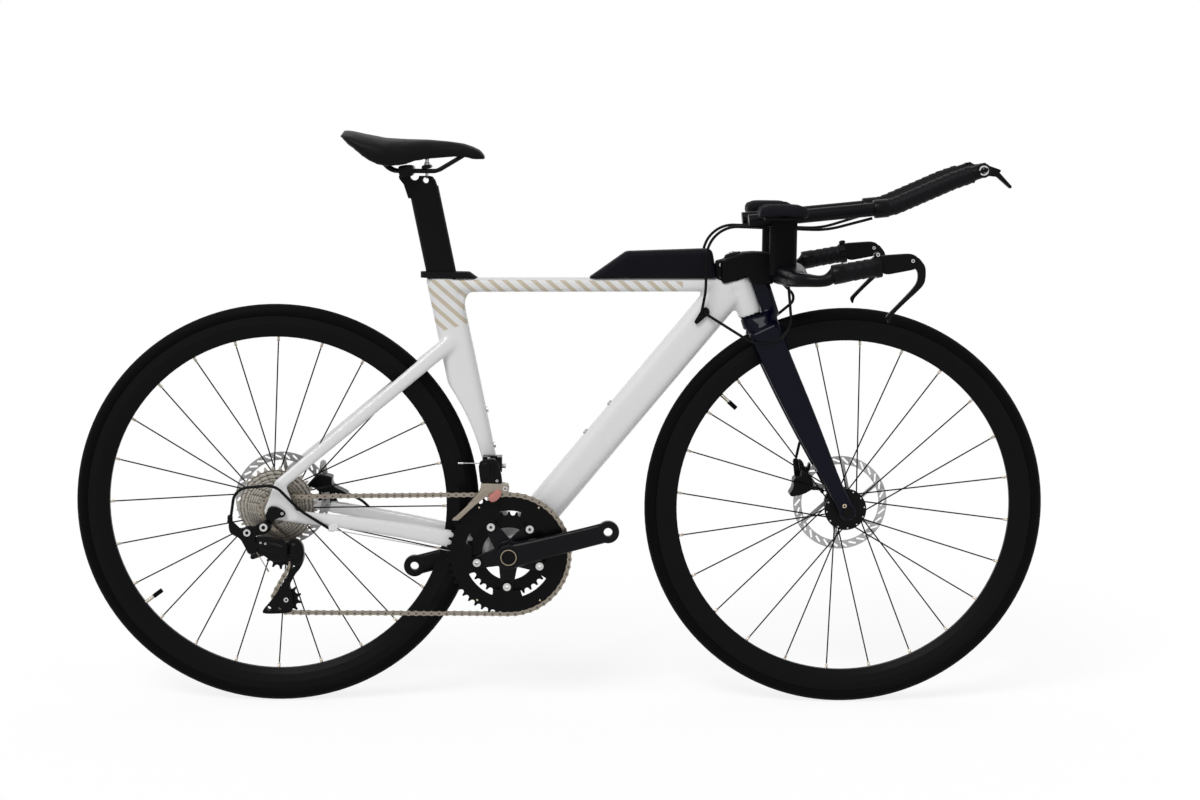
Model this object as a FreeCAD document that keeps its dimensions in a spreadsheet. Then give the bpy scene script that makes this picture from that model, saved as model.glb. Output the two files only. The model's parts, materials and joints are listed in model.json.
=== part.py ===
import FreeCAD
import Part
import Sketcher

import math
import os

from FreeCAD import Placement, Rotation, Vector

# Driving sizes in millimetres and degrees; the object faces +X, its drive side is -Y.
SIZES = {
    # wheels
    "wheelbase": 950,
    "bead_radius": 311,
    "tyre_width": 25,
    "rim_edge_radius": 316.5,
    "rim_edge_half_width": 10.2,
    "rim_half_width": 12.2,
    "rim_bulge_depth": 13,
    "rim_shoulder_depth": 25,
    "rim_shoulder_half_width": 8.2,
    "rim_depth": 35,
    "rim_nose_half_width": 3.2,
    "spoke_radius": 1,
    "spoke_sink": 1.5,
    "nipple_radius": 2.1,
    "nipple_length": 9,
    "valve_radius": 3,
    "valve_length": 34,
    "valve_cap_radius": 3.8,
    "valve_cap_length": 17,
    # hubs and axles
    "axle_radius": 6,
    "axle_head_radius": 9,
    "axle_head_length": 3,
    "running_gap": 0.05,
    "hub_barrel_radius": 15,
    "hub_end_radius": 10,
    "flange_width": 4,
    "flange_hole_depth": 3.5,
    "rotor_seat_radius": 19,
    "front_flange_radius": 35,
    "front_far_flange_radius": 29,
    "front_right_flange": 30,
    "front_left_flange": 22,
    "front_hub_half": 47.5,
    "rear_flange_radius": 29,
    "rear_right_flange": 17,
    "rear_left_flange": 34,
    "rear_hub_left": 68,
    "rear_hub_right": 21,
    "rotor_radius": 80,
    "rotor_band": 14,
    "rotor_thickness": 1.8,
    "rotor_hub_band": 9,
    "rotor_arm_radius": 3.2,
    "rotor_slot_radius": 1.6,
    "front_rotor_side": 38,
    "rear_rotor_side": 55,
    "freehub_radius": 17.2,
    "freehub_start": 21.6,
    "freehub_end": 64.4,
    "lockring_radius": 16.5,
    "lockring_length": 2.2,
    # bottom bracket, cranks and chainrings
    "bracket_drop": 76,
    "chainstay_run": 387,
    "shell_radius": 21.5,
    "shell_half": 34,
    "cup_radius": 17.5,
    "cup_flange_radius": 20.5,
    "cup_flange_length": 5,
    "cup_length": 12,
    "spindle_radius": 12,
    "spindle_half": 74,
    "crank_length": 170,
    "crank_angle": 15,
    "crank_root_depth": 44,
    "crank_root_width": 22,
    "crank_root_side": 62,
    "crank_mid_depth": 36,
    "crank_mid_width": 14,
    "crank_mid_side": 70,
    "crank_end_depth": 34,
    "crank_end_width": 13,
    "crank_end_side": 74,
    "crank_eye_radius": 18.5,
    "crank_boss_radius": 21,
    "pedal_hole_radius": 7.14,
    "left_boss_start": 45,
    "crank_cap_radius": 9,
    "crank_cap_length": 3,
    "spider_radius": 26,
    "spider_root_radius": 18,
    "spider_thickness": 5,
    "spider_bolt_circle": 55,
    "spider_eye_radius": 10.5,
    "ring_line": 47,
    "ring_thickness": 1.8,
    "ring_step": 7,
    "ring_band": 27,
    "ring_bolt_radius": 5,
    "ring_bolt_head_radius": 6.6,
    "ring_bolt_head": 1.6,
    "ring_bolt_recess": 2.6,
    # chain, cassette and pulleys
    "chain_pitch": 12.7,
    "roller_radius": 3.85,
    "seat_gap": 0.2,
    "tooth_height": 2.6,
    "chain_plate_radius": 4.1,
    "chain_waist": 3.0,
    "chain_plate": 0.7,
    "chain_inner_half": 1.1,
    "chain_outer_half": 2.0,
    "chain_pin_radius": 1.75,
    "chain_pin_gap": 0.12,
    "chain_pin_half": 2.8,
    "chain_run_in": 42,
    "cog_line": 62.5,
    "cog_step": 3.75,
    "cog_thickness": 1.6,
    "cog_band": 11,
    "pulley_thickness": 2,
    "pulley_axle_radius": 2.5,
    "pulley_hub_radius": 8,
    "pulley_hub_half": 3.6,
    "guide_ahead": 10,
    "guide_below": 74,
    "cage_span": 76,
    # frame tubes
    "seat_angle": 78.2,
    "seat_tube_setback": 16.7,
    "seat_tube_length": 471,
    "seat_tube_depth": 55,
    "seat_tube_width": 33,
    "seat_tube_foot_width": 38,
    "seat_top_trim": 9,
    "wheel_cut_gap": 14,
    "wheel_cut_width": 70,
    "head_angle": 71.5,
    "fork_rake": 52,
    "crown_height": 357,
    "head_length": 66,
    "head_radius": 20,
    "head_bore": 17,
    "bearing_height": 7,
    "top_tube_depth": 24,
    "top_tube_width": 36,
    "top_tube_front_width": 40,
    "top_tube_front_below": 10.5,
    "down_tube_depth": 59,
    "down_tube_width": 44,
    "down_tube_foot_width": 52,
    "down_tube_end_below": 13,
    "down_tube_end_behind": 22,
    "gusset_reach": 30,
    "gusset_width": 24,
    "stem_well_radius": 33,
    "stay_join": 368,
    "stay_join_side": 10,
    "stay_end_ahead": 11,
    "stay_end_rise": 44,
    "chainstay_root_side": 24,
    "chainstay_end_side": 72,
    "chainstay_bow": 6,
    "seatstay_end_side": 73,
    "chainstay_root_depth": 34,
    "chainstay_root_width": 17,
    "chainstay_end_depth": 20,
    "chainstay_end_width": 11,
    "seatstay_root_depth": 26,
    "seatstay_root_width": 15,
    "seatstay_end_depth": 19,
    "seatstay_end_width": 11,
    "dropout_inner": 71,
    "dropout_thickness": 6,
    "dropout_radius": 14,
    "dropout_stay_radius": 9,
    "dropout_reach": 32,
    "dropout_fall": 9,
    "bottle_bolt_radius": 2.6,
    "bottle_boss_radius": 5,
    "bottle_bolt_head": 2.2,
    "bottle_bolt_length": 12,
    # fork
    "steerer_radius": 12.6,
    "crown_gap": 1,
    "crown_depth": 64,
    "crown_width": 44,
    "crown_ahead": 14,
    "crown_drop": 24,
    "crown_low": 33.6,
    "crown_low_width": 72.5,
    "crown_mid": 14.4,
    "crown_mid_width": 61.6,
    "spar_near": 22,
    "spar_depth": 25,
    "spar_width": 32,
    "leg_top_depth": 57,
    "leg_top_width": 22,
    "leg_top_side": 29,
    "leg_knee_side": 36.25,
    "leg_knee_depth": 51.3,
    "leg_knee_width": 19.8,
    "leg_mid_depth": 40,
    "leg_mid_width": 16,
    "leg_mid_side": 44,
    "leg_low_depth": 28,
    "leg_low_width": 13,
    "leg_low_side": 52,
    "leg_end_depth": 25.2,
    "fork_end_inner": 50,
    "fork_end_width": 11,
    "fork_end_radius": 14,
    "fork_well_gap": 7,
    "fork_well_half": 17,
    # stem and bars
    "stem_height": 44,
    "stem_foot_radius": 29,
    "stem_top_radius": 23,
    "stem_reach": 53,
    "stem_width": 42,
    "bar_ahead": 79,
    "bar_above": 9,
    "bar_chord": 58,
    "bar_height": 33,
    "bar_side": 200,
    "bar_tip_chord": 30,
    "bar_tip_height": 24,
    "bar_bend": 36,
    "bar_neck_height": 18,
    "grip_radius": 12.5,
    "grip_length": 124,
    "grip_rise": 23,
    "grip_tape": 2.5,
    "grip_tape_start": 52,
    "riser_side": 60,
    "riser_depth": 45,
    "riser_width": 22,
    "riser_top_above": 86,
    "riser_ahead": 67,
    "extension_radius": 11.1,
    "extension_tape": 3.2,
    "extension_above": 107,
    "extension_tail": 10,
    "extension_level": 243,
    "extension_level_rise": 24.5,
    "extension_slope": 100,
    "extension_slope_rise": 44.5,
    "extension_end": 31,
    "extension_end_rise": 11,
    "extension_bend": 90,
    "clamp_wall": 4,
    "clamp_length": 42,
    "pad_side": 112,
    "pad_length": 80,
    "pad_width": 66,
    "pad_height": 22,
    "pad_cup": 9,
    "pad_ahead": 60,
    "pad_plate": 4,
    "pad_plate_length": 62,
    "pad_plate_width": 92,
    "pad_plate_inset": 18,
    "lever_body_length": 62,
    "lever_body_height": 29,
    "lever_body_width": 23,
    "lever_body_rise": 7.5,
    "lever_nose_height": 20,
    "lever_nose_width": 19,
    "lever_slot_behind": 12,
    "lever_pin_length": 20.6,
    "lever_pivot_ahead": 52,
    "lever_pivot_above": 10,
    "lever_pin_radius": 3,
    "lever_width": 13,
    "lever_eye": 8,
    "lever_tip_below": 98,
    "shifter_radius": 12,
    "shifter_length": 18,
    "shifter_body_length": 25.2,
    "shifter_slot_behind": 10.4,
    "shifter_pin_length": 14.4,
    "shifter_width": 16,
    "shifter_lever_reach": 24,
    "shifter_lever_fall": 6,
    "shifter_tip_reach": 45,
    "shifter_tip_fall": 26,
    "shifter_lever_width": 8,
    "shifter_eye": 8,
    "shifter_knee": 4.2,
    "shifter_tip": 2.6,
    "shifter_left_raise": 28,
    # seatpost and saddle
    "post_depth": 49,
    "post_width": 24,
    "post_insert": 116,
    "post_top": 164,
    "post_gap": 0.3,
    "post_tail": 11.5,
    "cover_height": 10,
    "cover_depth": 96,
    "cover_width": 35,
    "cover_top_depth": 82,
    "cover_top_width": 30.3,
    "cover_ahead": 12,
    "saddle_above": 64.5,
    "saddle_length": 240,
    "saddle_tail": 121,
    "saddle_tail_width": 130,
    "saddle_thickness": 50,
    "rail_radius": 3.5,
    "rail_side": 22,
    "rail_level": 15,
    "rail_behind": 12,
    "rail_length": 74,
    "rail_front": 55,
    "rail_front_rise": 33,
    "rail_back": 34,
    "rail_back_rise": 34,
    "rail_bend": 24,
    "cradle_length": 40,
    "cradle_height": 8,
    "cradle_width": 58,
    "clamp_bolt_radius": 2.5,
    "clamp_bolt_head": 4.5,
    "clamp_bolt_inset": 5.4,
    "clamp_bolt_rise": 12,
    "post_head_hole": 5,
    "post_head_width": 23,
    "post_notch": 7.5,
    "post_head_drop": 14,
    "saddle_nose_drop": 43,
    # storage box
    "box_length": 213,
    "box_height": 48,
    "box_width": 42,
    "box_ramp": 62,
    "box_front_slope": 9,
    "box_round": 9,
    "box_behind": 36,
    # derailleurs
    "mech_slant": 50,
    "mech_swing": 56,
    "mech_link": 58,
    "mech_link_gap": 11,
    "mech_link_radius": 4,
    "mech_link_height": 7,
    "mech_link_room": 0.6,
    "mech_pin_radius": 2.2,
    "mech_lug_radius": 6,
    "mech_lug": 4,
    "mech_base_back": 35,
    "mech_base_below": 72.5,
    "mech_base_side": 70,
    "mech_plate_inner": 82,
    "mech_plate": 9,
    "mech_neck": 14.4,
    "mech_pivot_ahead": 28,
    "mech_pivot_above": 14,
    "mech_pivot_radius": 5,
    "mech_knuckle_radius": 11.5,
    "mech_knuckle_end": 94,
    "mech_bolt_back": 40,
    "mech_bolt_below": 36,
    "mech_eye_radius": 9,
    "cage_plate": 2,
    "cage_half": 4.2,
    "cage_eye": 10.5,
    "front_mech_near": 109,
    "front_mech_angle": 103,
    "front_mech_nose": 88,
    "front_mech_tail": 148,
    "front_mech_height": 15,
    "front_mech_plate": 1.5,
    "front_mech_half": 5.5,
    "front_mech_pivot": 30,
    "front_mech_pin_radius": 2,
    "front_mech_body_depth": 32,
    "front_mech_body_width": 27.2,
    "front_mech_body_height": 24.7,
    "front_mech_body_inset": 8,
    "front_mech_slot_width": 22.4,
    "front_mech_slot_out": 4.8,
    "hanger_radius": 12,
    "hanger_thickness": 4.5,
    "hanger_drop": 25,
    "hanger_back": 15,
    "hanger_eye": 9,
    # brakes
    "caliper_length": 42,
    "caliper_height": 34,
    "caliper_half": 17,
    "caliper_slot": 1.6,
    "caliper_arm_reach": 30,
    "caliper_arm_thickness": 5,
    "caliper_arm_eye": 9,
    "caliper_arm_tip": 5,
    "caliper_ahead": 67,
    "caliper_above": 28,
    "front_caliper_behind": 67,
    "front_caliper_above": 38,
    "caliper_foot": 30,
    "caliper_foot_length": 33.6,
    "caliper_foot_width": 13.6,
    "front_foot_width": 10.2,
    "front_foot_height": 27.2,
    "caliper_pin_radius": 3,
    "caliper_arm_gap": 0.5,
    # cables
    "housing_radius": 2.4,
    "wire_radius": 0.8,
    "port_radius": 7,
    "port_length": 22,
    "port_thickness": 6,
    "port_side": 21,
    "port_behind": 56,
    "port_below": 55,
    "cable_reach": 100,
}

CHAINRING_TEETH = (50, 34)
COG_TEETH = (11, 12, 13, 14, 16, 18, 20, 22, 25, 28, 32)
PULLEY_TEETH = 11
SPOKES = 24
FULL_TURN = 360
UP = Vector(0, 0, 1)
LEFT = Vector(0, 1, 0)
AHEAD = Vector(1, 0, 0)

doc = FreeCAD.newDocument("time_trial_bike")
sheet = doc.addObject("Spreadsheet::Sheet", "Sizes")
for row, (word, number) in enumerate(SIZES.items(), start=1):
    sheet.set(f"A{row}", word)
    sheet.set(f"B{row}", str(number))
    sheet.setAlias(f"B{row}", word)
doc.recompute()
n = sheet


class Bound:
    """A sheet size, or a sum of sizes, kept as an expression and as its present value."""

    def __init__(self, text, value):
        self.text = text
        self.value = value

    def join(self, sign, other, value):
        text = other.text if isinstance(other, Bound) else str(other)
        return Bound(f"({self.text} {sign} {text})", value)

    def __float__(self):
        return float(self.value)

    def __add__(self, other):
        return self.join("+", other, self.value + float(other))

    def __sub__(self, other):
        return self.join("-", other, self.value - float(other))

    def __mul__(self, other):
        return self.join("*", other, self.value * float(other))

    def __truediv__(self, other):
        return self.join("/", other, self.value / float(other))

    def __neg__(self):
        return Bound(f"(-{self.text})", -self.value)


class Cells:
    """Gives each sheet size by its word as a Bound."""

    def __getattr__(self, word):
        return Bound(f"Sizes.{word}", float(getattr(sheet, word)))


d = Cells()
pieces = []


def named(label, obj):
    """Files a finished object as one sub-part under its label."""
    obj.Label = label
    pieces.append(obj)
    return obj


def bind(obj, **sizes):
    for word, size in sizes.items():
        obj.setExpression(word, size.text)


def facing(direction):
    return Rotation(UP, direction)


def rod(radius, length, base, direction):
    obj = doc.addObject("Part::Cylinder", "Rod")
    bind(obj, Radius=radius, Height=length)
    obj.Placement = Placement(base, facing(direction))
    return obj


def block(length, width, height, centre, turn=None):
    """A box centred on a point."""
    obj = doc.addObject("Part::Box", "Block")
    bind(obj, Length=length, Width=width, Height=height)
    turn = turn or Rotation()
    half = Vector(float(length), float(width), float(height)) * 0.5
    obj.Placement = Placement(centre - turn.multVec(half), turn)
    return obj


def fused(*members):
    if len(members) == 1:
        return members[0]
    obj = doc.addObject("Part::MultiFuse", "Fused")
    obj.Shapes = list(members)
    obj.Refine = True
    return obj


def cut(base, *tools):
    obj = doc.addObject("Part::Cut", "Cut")
    obj.Base = base
    obj.Tool = fused(*tools)
    return obj


def grouped(*members):
    obj = doc.addObject("Part::Compound", "Group")
    obj.Links = list(members)
    return obj


def mirrored(source):
    """The same piece on the other side of the object's middle plane."""
    obj = doc.addObject("Part::Mirroring", "Mirrored")
    obj.Source = source
    obj.Normal = LEFT
    return obj


def both(source):
    return grouped(source, mirrored(source))


def shaped(shape):
    """A shape worked out in code, for forms no single feature gives."""
    obj = doc.addObject("Part::Feature", "Shaped")
    obj.Shape = shape
    return obj


def profile(body, points, plane):
    """A closed sketch whose corners are bound to the sheet."""
    sketch = body.newObject("Sketcher::SketchObject", "Profile")
    support = [o for o in body.Origin.OriginFeatures if o.Role == plane][0]
    sketch.AttachmentSupport = [(support, "")]
    sketch.MapMode = "FlatFace"
    spots = [Vector(float(a), float(b), 0) for a, b in points]
    count = len(spots)
    for i in range(count):
        sketch.addGeometry(Part.LineSegment(spots[i], spots[(i + 1) % count]))
    for i in range(count):
        sketch.addConstraint(Sketcher.Constraint("Coincident", i, 2, (i + 1) % count, 1))
    for i, corner in enumerate(points):
        for kind, size, axis in (("DistanceX", corner[0], -2), ("DistanceY", corner[1], -1)):
            if float(size) == 0:
                sketch.addConstraint(Sketcher.Constraint("PointOnObject", i, 1, axis))
                continue
            index = sketch.addConstraint(Sketcher.Constraint(kind, -1, 1, i, 1, float(size)))
            sketch.setExpression(f"Constraints[{index}]", size.text)
    return sketch


def turned(points, place):
    """A body turned about its own Y axis from corners given as (radius, along)."""
    body = doc.addObject("PartDesign::Body", "Turned")
    sketch = profile(body, points, "XY_Plane")
    feature = body.newObject("PartDesign::Revolution", "Revolution")
    feature.Profile = sketch
    feature.ReferenceAxis = (sketch, ["V_Axis"])
    feature.Angle = FULL_TURN
    body.Placement = place
    return body


def ring(outer, inner, start, end):
    """Corners of a plain turned ring."""
    return [(inner, start), (outer, start), (outer, end), (inner, end)]


def rounded_wire(depth, width, corner):
    """A rounded rectangle of four lines and four arcs about the origin."""
    a = depth / 2
    b = width / 2
    half_share = math.sqrt(0.5)
    inset = corner * (1 - half_share)
    ends = []
    for sx, sy in ((1, -1), (1, 1), (-1, 1), (-1, -1)):
        level = Vector(sx * (a - corner), sy * b, 0)
        bend = Vector(sx * (a - inset), sy * (b - inset), 0)
        wall = Vector(sx * a, sy * (b - corner), 0)
        ends.append((level, bend, wall) if sx * sy < 0 else (wall, bend, level))
    edges = []
    for i, (first, bend, last) in enumerate(ends):
        edges.append(Part.LineSegment(ends[i - 1][2], first).toShape())
        edges.append(Part.Arc(first, bend, last).toShape())
    return Part.Wire(edges)


def lofted(sections, ruled=False):
    obj = doc.addObject("Part::Loft", "Loft")
    obj.Sections = sections
    obj.Solid = True
    obj.Ruled = ruled
    return obj


def tube(stations, along, deep=None, round_share=0.46):
    """A loft through rounded sections given as (centre, depth, width)."""
    along = Vector(along).normalize()
    deep = deep or LEFT.cross(along).normalize()
    turn = Rotation(deep, along.cross(deep), along, "ZXY")
    sections = []
    for centre, depth, width in stations:
        section = shaped(rounded_wire(depth, width, min(depth, width) * round_share))
        section.Placement = Placement(centre, turn)
        sections.append(section)
    return lofted(sections)


def belt_wire(circles):
    """The outline drawn tight around circles given as (x, z, radius) in turning order."""
    count = len(circles)
    normals = []
    for i in range(count):
        x, z, radius = circles[i]
        to_x, to_z, to_radius = circles[(i + 1) % count]
        span = math.hypot(to_x - x, to_z - z)
        heading = math.atan2(to_z - z, to_x - x)
        lean = math.asin((radius - to_radius) / span)
        normals.append(heading - math.pi / 2 + lean)
    edges = []
    for i in range(count):
        x, z, radius = circles[i]
        to_x, to_z, to_radius = circles[(i + 1) % count]
        after = normals[i]
        before = normals[i - 1]
        sweep = (after - before) % (2 * math.pi)
        spots = []
        for angle in (before, before + sweep / 2, after):
            spots.append(Vector(x + radius * math.cos(angle), 0, z + radius * math.sin(angle)))
        edges.append(Part.Arc(*spots).toShape())
        start = spots[2]
        end = Vector(to_x + to_radius * math.cos(after), 0, to_z + to_radius * math.sin(after))
        edges.append(Part.LineSegment(start, end).toShape())
    return Part.Wire(edges)


def plate(wire, thickness, side):
    """A flat outline in the XZ plane given an even thickness about its side."""
    outline = shaped(wire)
    outline.Placement = Placement(LEFT * side, Rotation())
    obj = doc.addObject("Part::Extrusion", "Plate")
    obj.Base = outline
    obj.DirMode = "Custom"
    obj.Dir = LEFT
    bind(obj, LengthFwd=thickness)
    obj.Solid = True
    obj.Symmetric = True
    return obj


def belt(circles, thickness, side):
    return plate(belt_wire(circles), thickness, side)


def bent_edges(points, bends):
    """Straight runs joined by tangent arcs; one bend radius for each inner point."""
    edges = []
    start = points[0]
    for i, bend in enumerate(bends, start=1):
        before = (points[i - 1] - points[i]).normalize()
        after = (points[i + 1] - points[i]).normalize()
        half = before.getAngle(after) / 2
        back = bend / math.tan(half)
        enter = points[i] + before * back
        leave = points[i] + after * back
        centre = points[i] + (before + after).normalize() * (bend / math.sin(half))
        middle = centre + (points[i] - centre).normalize() * bend
        if (enter - start).Length > n.running_gap:
            edges.append(Part.LineSegment(start, enter).toShape())
        edges.append(Part.Arc(enter, middle, leave).toShape())
        start = leave
    edges.append(Part.LineSegment(start, points[-1]).toShape())
    return edges


def swept(radius, points, bends):
    """A round bar or cable along a bent path."""
    path = shaped(Part.Wire(bent_edges(points, bends)))
    circle = doc.addObject("Part::Circle", "Round")
    bind(circle, Radius=radius)
    circle.Placement = Placement(points[0], facing(points[1] - points[0]))
    obj = doc.addObject("Part::Sweep", "Sweep")
    obj.Sections = [circle]
    obj.Spine = (path, [f"Edge{i + 1}" for i in range(len(path.Shape.Edges))])
    obj.Solid = True
    return obj


def polar(centre, radius, degrees, side=0):
    """A point at an angle about a Y axis, turning from ahead to up."""
    angle = math.radians(degrees)
    return Vector(centre.x + radius * math.cos(angle), side, centre.z + radius * math.sin(angle))


def between(a, b, share):
    return a + (b - a) * share


def along_y(centre):
    return Placement(centre, Rotation())


# Anchor points that the tubes and pieces hang from.
wheel_radius = n.bead_radius + n.tyre_width
rear_hub = Vector(-n.wheelbase / 2, 0, wheel_radius)
front_hub = Vector(n.wheelbase / 2, 0, wheel_radius)
bracket = Vector(rear_hub.x + n.chainstay_run, 0, wheel_radius - n.bracket_drop)
head_turn = math.radians(n.head_angle)
steer_up = Vector(-math.cos(head_turn), 0, math.sin(head_turn))
steer_ahead = Vector(math.sin(head_turn), 0, math.cos(head_turn))
steer_foot = front_hub - steer_ahead * n.fork_rake
seat_turn = math.radians(n.seat_angle)
seat_up = Vector(-math.cos(seat_turn), 0, math.sin(seat_turn))
seat_ahead = Vector(math.sin(seat_turn), 0, math.cos(seat_turn))
seat_foot = bracket - seat_ahead * n.seat_tube_setback
seat_top = seat_foot + seat_up * n.seat_tube_length
head_low = steer_foot + steer_up * n.crown_height
head_top = head_low + steer_up * n.head_length


def steer(up, ahead=0, side=0):
    """A point measured along and ahead of the steering axis from the foot of the fork."""
    return steer_foot + steer_up * up + steer_ahead * ahead + LEFT * side


def seat(up, ahead=0, side=0):
    """A point measured along and ahead of the seat tube from its foot."""
    return seat_foot + seat_up * up + seat_ahead * ahead + LEFT * side


# Wheels: tyre with valve, rim, laced spokes with nipples, hub and disc.
def tyre(centre):
    obj = doc.addObject("Part::Torus", "Tyre")
    bind(obj, Radius1=d.bead_radius + d.tyre_width / 2, Radius2=d.tyre_width / 2)
    obj.Placement = Placement(centre, facing(LEFT))
    seat_rod = rod(d.rim_edge_radius, d.tyre_width * 2, centre - LEFT * n.tyre_width, LEFT)
    return cut(obj, seat_rod)


def valve(centre, degrees):
    top = n.rim_edge_radius - n.rim_depth - n.running_gap
    inward = polar(centre, 1, degrees + FULL_TURN / 2) - centre
    stem = rod(d.valve_radius, d.valve_length - d.valve_cap_length, polar(centre, top, degrees), inward)
    cap_base = polar(centre, top - n.valve_length + n.valve_cap_length, degrees)
    cap = rod(d.valve_cap_radius, d.valve_cap_length, cap_base, inward)
    return fused(stem, cap)


def rim(centre):
    edge = d.rim_edge_radius
    half = [
        (edge, d.rim_edge_half_width),
        (edge - d.rim_bulge_depth, d.rim_half_width),
        (edge - d.rim_shoulder_depth, d.rim_shoulder_half_width),
        (edge - d.rim_depth, d.rim_nose_half_width),
    ]
    other = [(radius, -side) for radius, side in reversed(half)]
    return turned(half + other, along_y(centre))


def spokes(centre, flanges, valve_angle):
    """Spokes laced from two flanges, each crossing its neighbours, with a nipple at the rim."""
    cross_share = 2.0
    shapes = []
    pitch = FULL_TURN / SPOKES
    foot_radius = n.rim_edge_radius - n.rim_depth
    for i in range(SPOKES):
        radius, side = flanges[i % 2]
        angle = valve_angle + (i + 0.5) * pitch
        lean = cross_share * pitch * (1 if (i // 2) % 2 else -1)
        low = polar(centre, radius - n.flange_hole_depth, angle + lean, side)
        high = polar(centre, foot_radius + n.spoke_sink, angle)
        heading = (high - low).normalize()
        shapes.append(Part.makeCylinder(n.spoke_radius, (high - low).Length, low, heading))
        base = high - heading * n.nipple_length
        nipple = Part.makeCylinder(n.nipple_radius, n.nipple_length, base, heading)
        shapes[-1] = shapes[-1].fuse(nipple).removeSplitter()
    return shaped(Part.Compound(shapes))


def rotor(centre, side):
    """A brake disc: slotted band, swept arms and a mounting ring."""
    arms = 6
    slots = 30
    sweep = 28
    slot_lean = 7
    inner = n.rotor_radius - n.rotor_band
    hub_radius = n.rotor_seat_radius + n.rotor_hub_band
    middle = Vector(0, 0, 0)
    flat = Part.makeCylinder(n.rotor_radius, n.rotor_thickness, middle, LEFT)
    flat = flat.cut(Part.makeCylinder(inner, n.rotor_thickness, middle, LEFT))
    core = Part.makeCylinder(hub_radius, n.rotor_thickness, middle, LEFT)
    bars = []
    for i in range(arms):
        start = polar(middle, hub_radius - n.rotor_arm_radius, i * FULL_TURN / arms)
        end = polar(middle, inner + n.rotor_arm_radius, i * FULL_TURN / arms + sweep)
        wire = belt_wire([(p.x, p.z, n.rotor_arm_radius) for p in (start, end)])
        bars.append(Part.Face(wire).extrude(LEFT * n.rotor_thickness))
    flat = flat.fuse([core] + bars).removeSplitter()
    holes = [Part.makeCylinder(n.rotor_seat_radius, n.rotor_thickness, middle, LEFT)]
    for i in range(slots):
        turn = i * FULL_TURN / slots
        reach = n.rotor_band / (3 + i % 2)
        start = polar(middle, inner + reach, turn - slot_lean / 2)
        end = polar(middle, n.rotor_radius - reach, turn + slot_lean / 2)
        wire = belt_wire([(p.x, p.z, n.rotor_slot_radius) for p in (start, end)])
        holes.append(Part.Face(wire).extrude(LEFT * n.rotor_thickness))
    obj = shaped(flat.cut(holes))
    obj.Placement = Placement(centre + LEFT * (side - n.rotor_thickness / 2), Rotation())
    return obj


def hub_profile(right_end, right, right_radius, left, left_radius, disc, left_end):
    """Corners of a hub shell with two flanges and a disc seat on the left."""
    bore = d.axle_radius + d.running_gap
    half = d.flange_width / 2
    seat_end = disc + d.rotor_thickness / 2 + d.rotor_thickness
    seat_start = disc - d.rotor_thickness / 2
    return [
        (bore, -right_end),
        (d.hub_end_radius, -right_end),
        (d.hub_end_radius, -right - half),
        (right_radius, -right - half),
        (right_radius, -right + half),
        (d.hub_barrel_radius, -right + half + half),
        (d.hub_barrel_radius, left - half - half),
        (left_radius, left - half),
        (left_radius, left + half),
        (d.rotor_seat_radius + d.rotor_hub_band / 2, left + half),
        (d.rotor_seat_radius + d.rotor_hub_band / 2, seat_start),
        (d.rotor_seat_radius, seat_start),
        (d.rotor_seat_radius, seat_end),
        (d.hub_end_radius, seat_end),
        (d.hub_end_radius, left_end),
        (bore, left_end),
    ]


def axle(centre, half):
    core = rod(d.axle_radius, half * 2, centre - LEFT * float(half), LEFT)
    head = rod(d.axle_head_radius, d.axle_head_length, centre - LEFT * float(half), -LEFT)
    return fused(core, head)


front_valve_angle = 196
rear_valve_angle = 217
named("front_tyre", grouped(tyre(front_hub), valve(front_hub, front_valve_angle)))
named("rear_tyre", grouped(tyre(rear_hub), valve(rear_hub, rear_valve_angle)))
named("front_rim", rim(front_hub))
named("rear_rim", rim(rear_hub))
front_flanges = (
    (n.front_flange_radius, -n.front_right_flange),
    (n.front_far_flange_radius, n.front_left_flange),
)
rear_flanges = (
    (n.rear_flange_radius, -n.rear_right_flange),
    (n.rear_flange_radius, n.rear_left_flange),
)
named("front_spokes", spokes(front_hub, front_flanges, front_valve_angle))
named("rear_spokes", spokes(rear_hub, rear_flanges, rear_valve_angle))
named("front_rotor", rotor(front_hub, n.front_rotor_side))
named("rear_rotor", rotor(rear_hub, n.rear_rotor_side))
front_shell = hub_profile(
    d.front_hub_half,
    d.front_right_flange,
    d.front_flange_radius,
    d.front_left_flange,
    d.front_far_flange_radius,
    d.front_rotor_side,
    d.front_hub_half,
)
named("front_hub", turned(front_shell, along_y(front_hub)))
rear_shell = hub_profile(
    d.rear_hub_right,
    d.rear_right_flange,
    d.rear_flange_radius,
    d.rear_left_flange,
    d.rear_flange_radius,
    d.rear_rotor_side,
    d.rear_hub_left,
)
named("rear_hub", turned(rear_shell, along_y(rear_hub)))
named("front_axle", axle(front_hub, d.fork_end_inner + d.fork_end_width))
named("rear_axle", axle(rear_hub, d.dropout_inner + d.dropout_thickness))


# Drive: toothed wheels that share the chain's pitch, and the chain led around them.
def pitch_radius(teeth):
    return n.chain_pitch / (2 * math.sin(math.pi / teeth))


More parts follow.
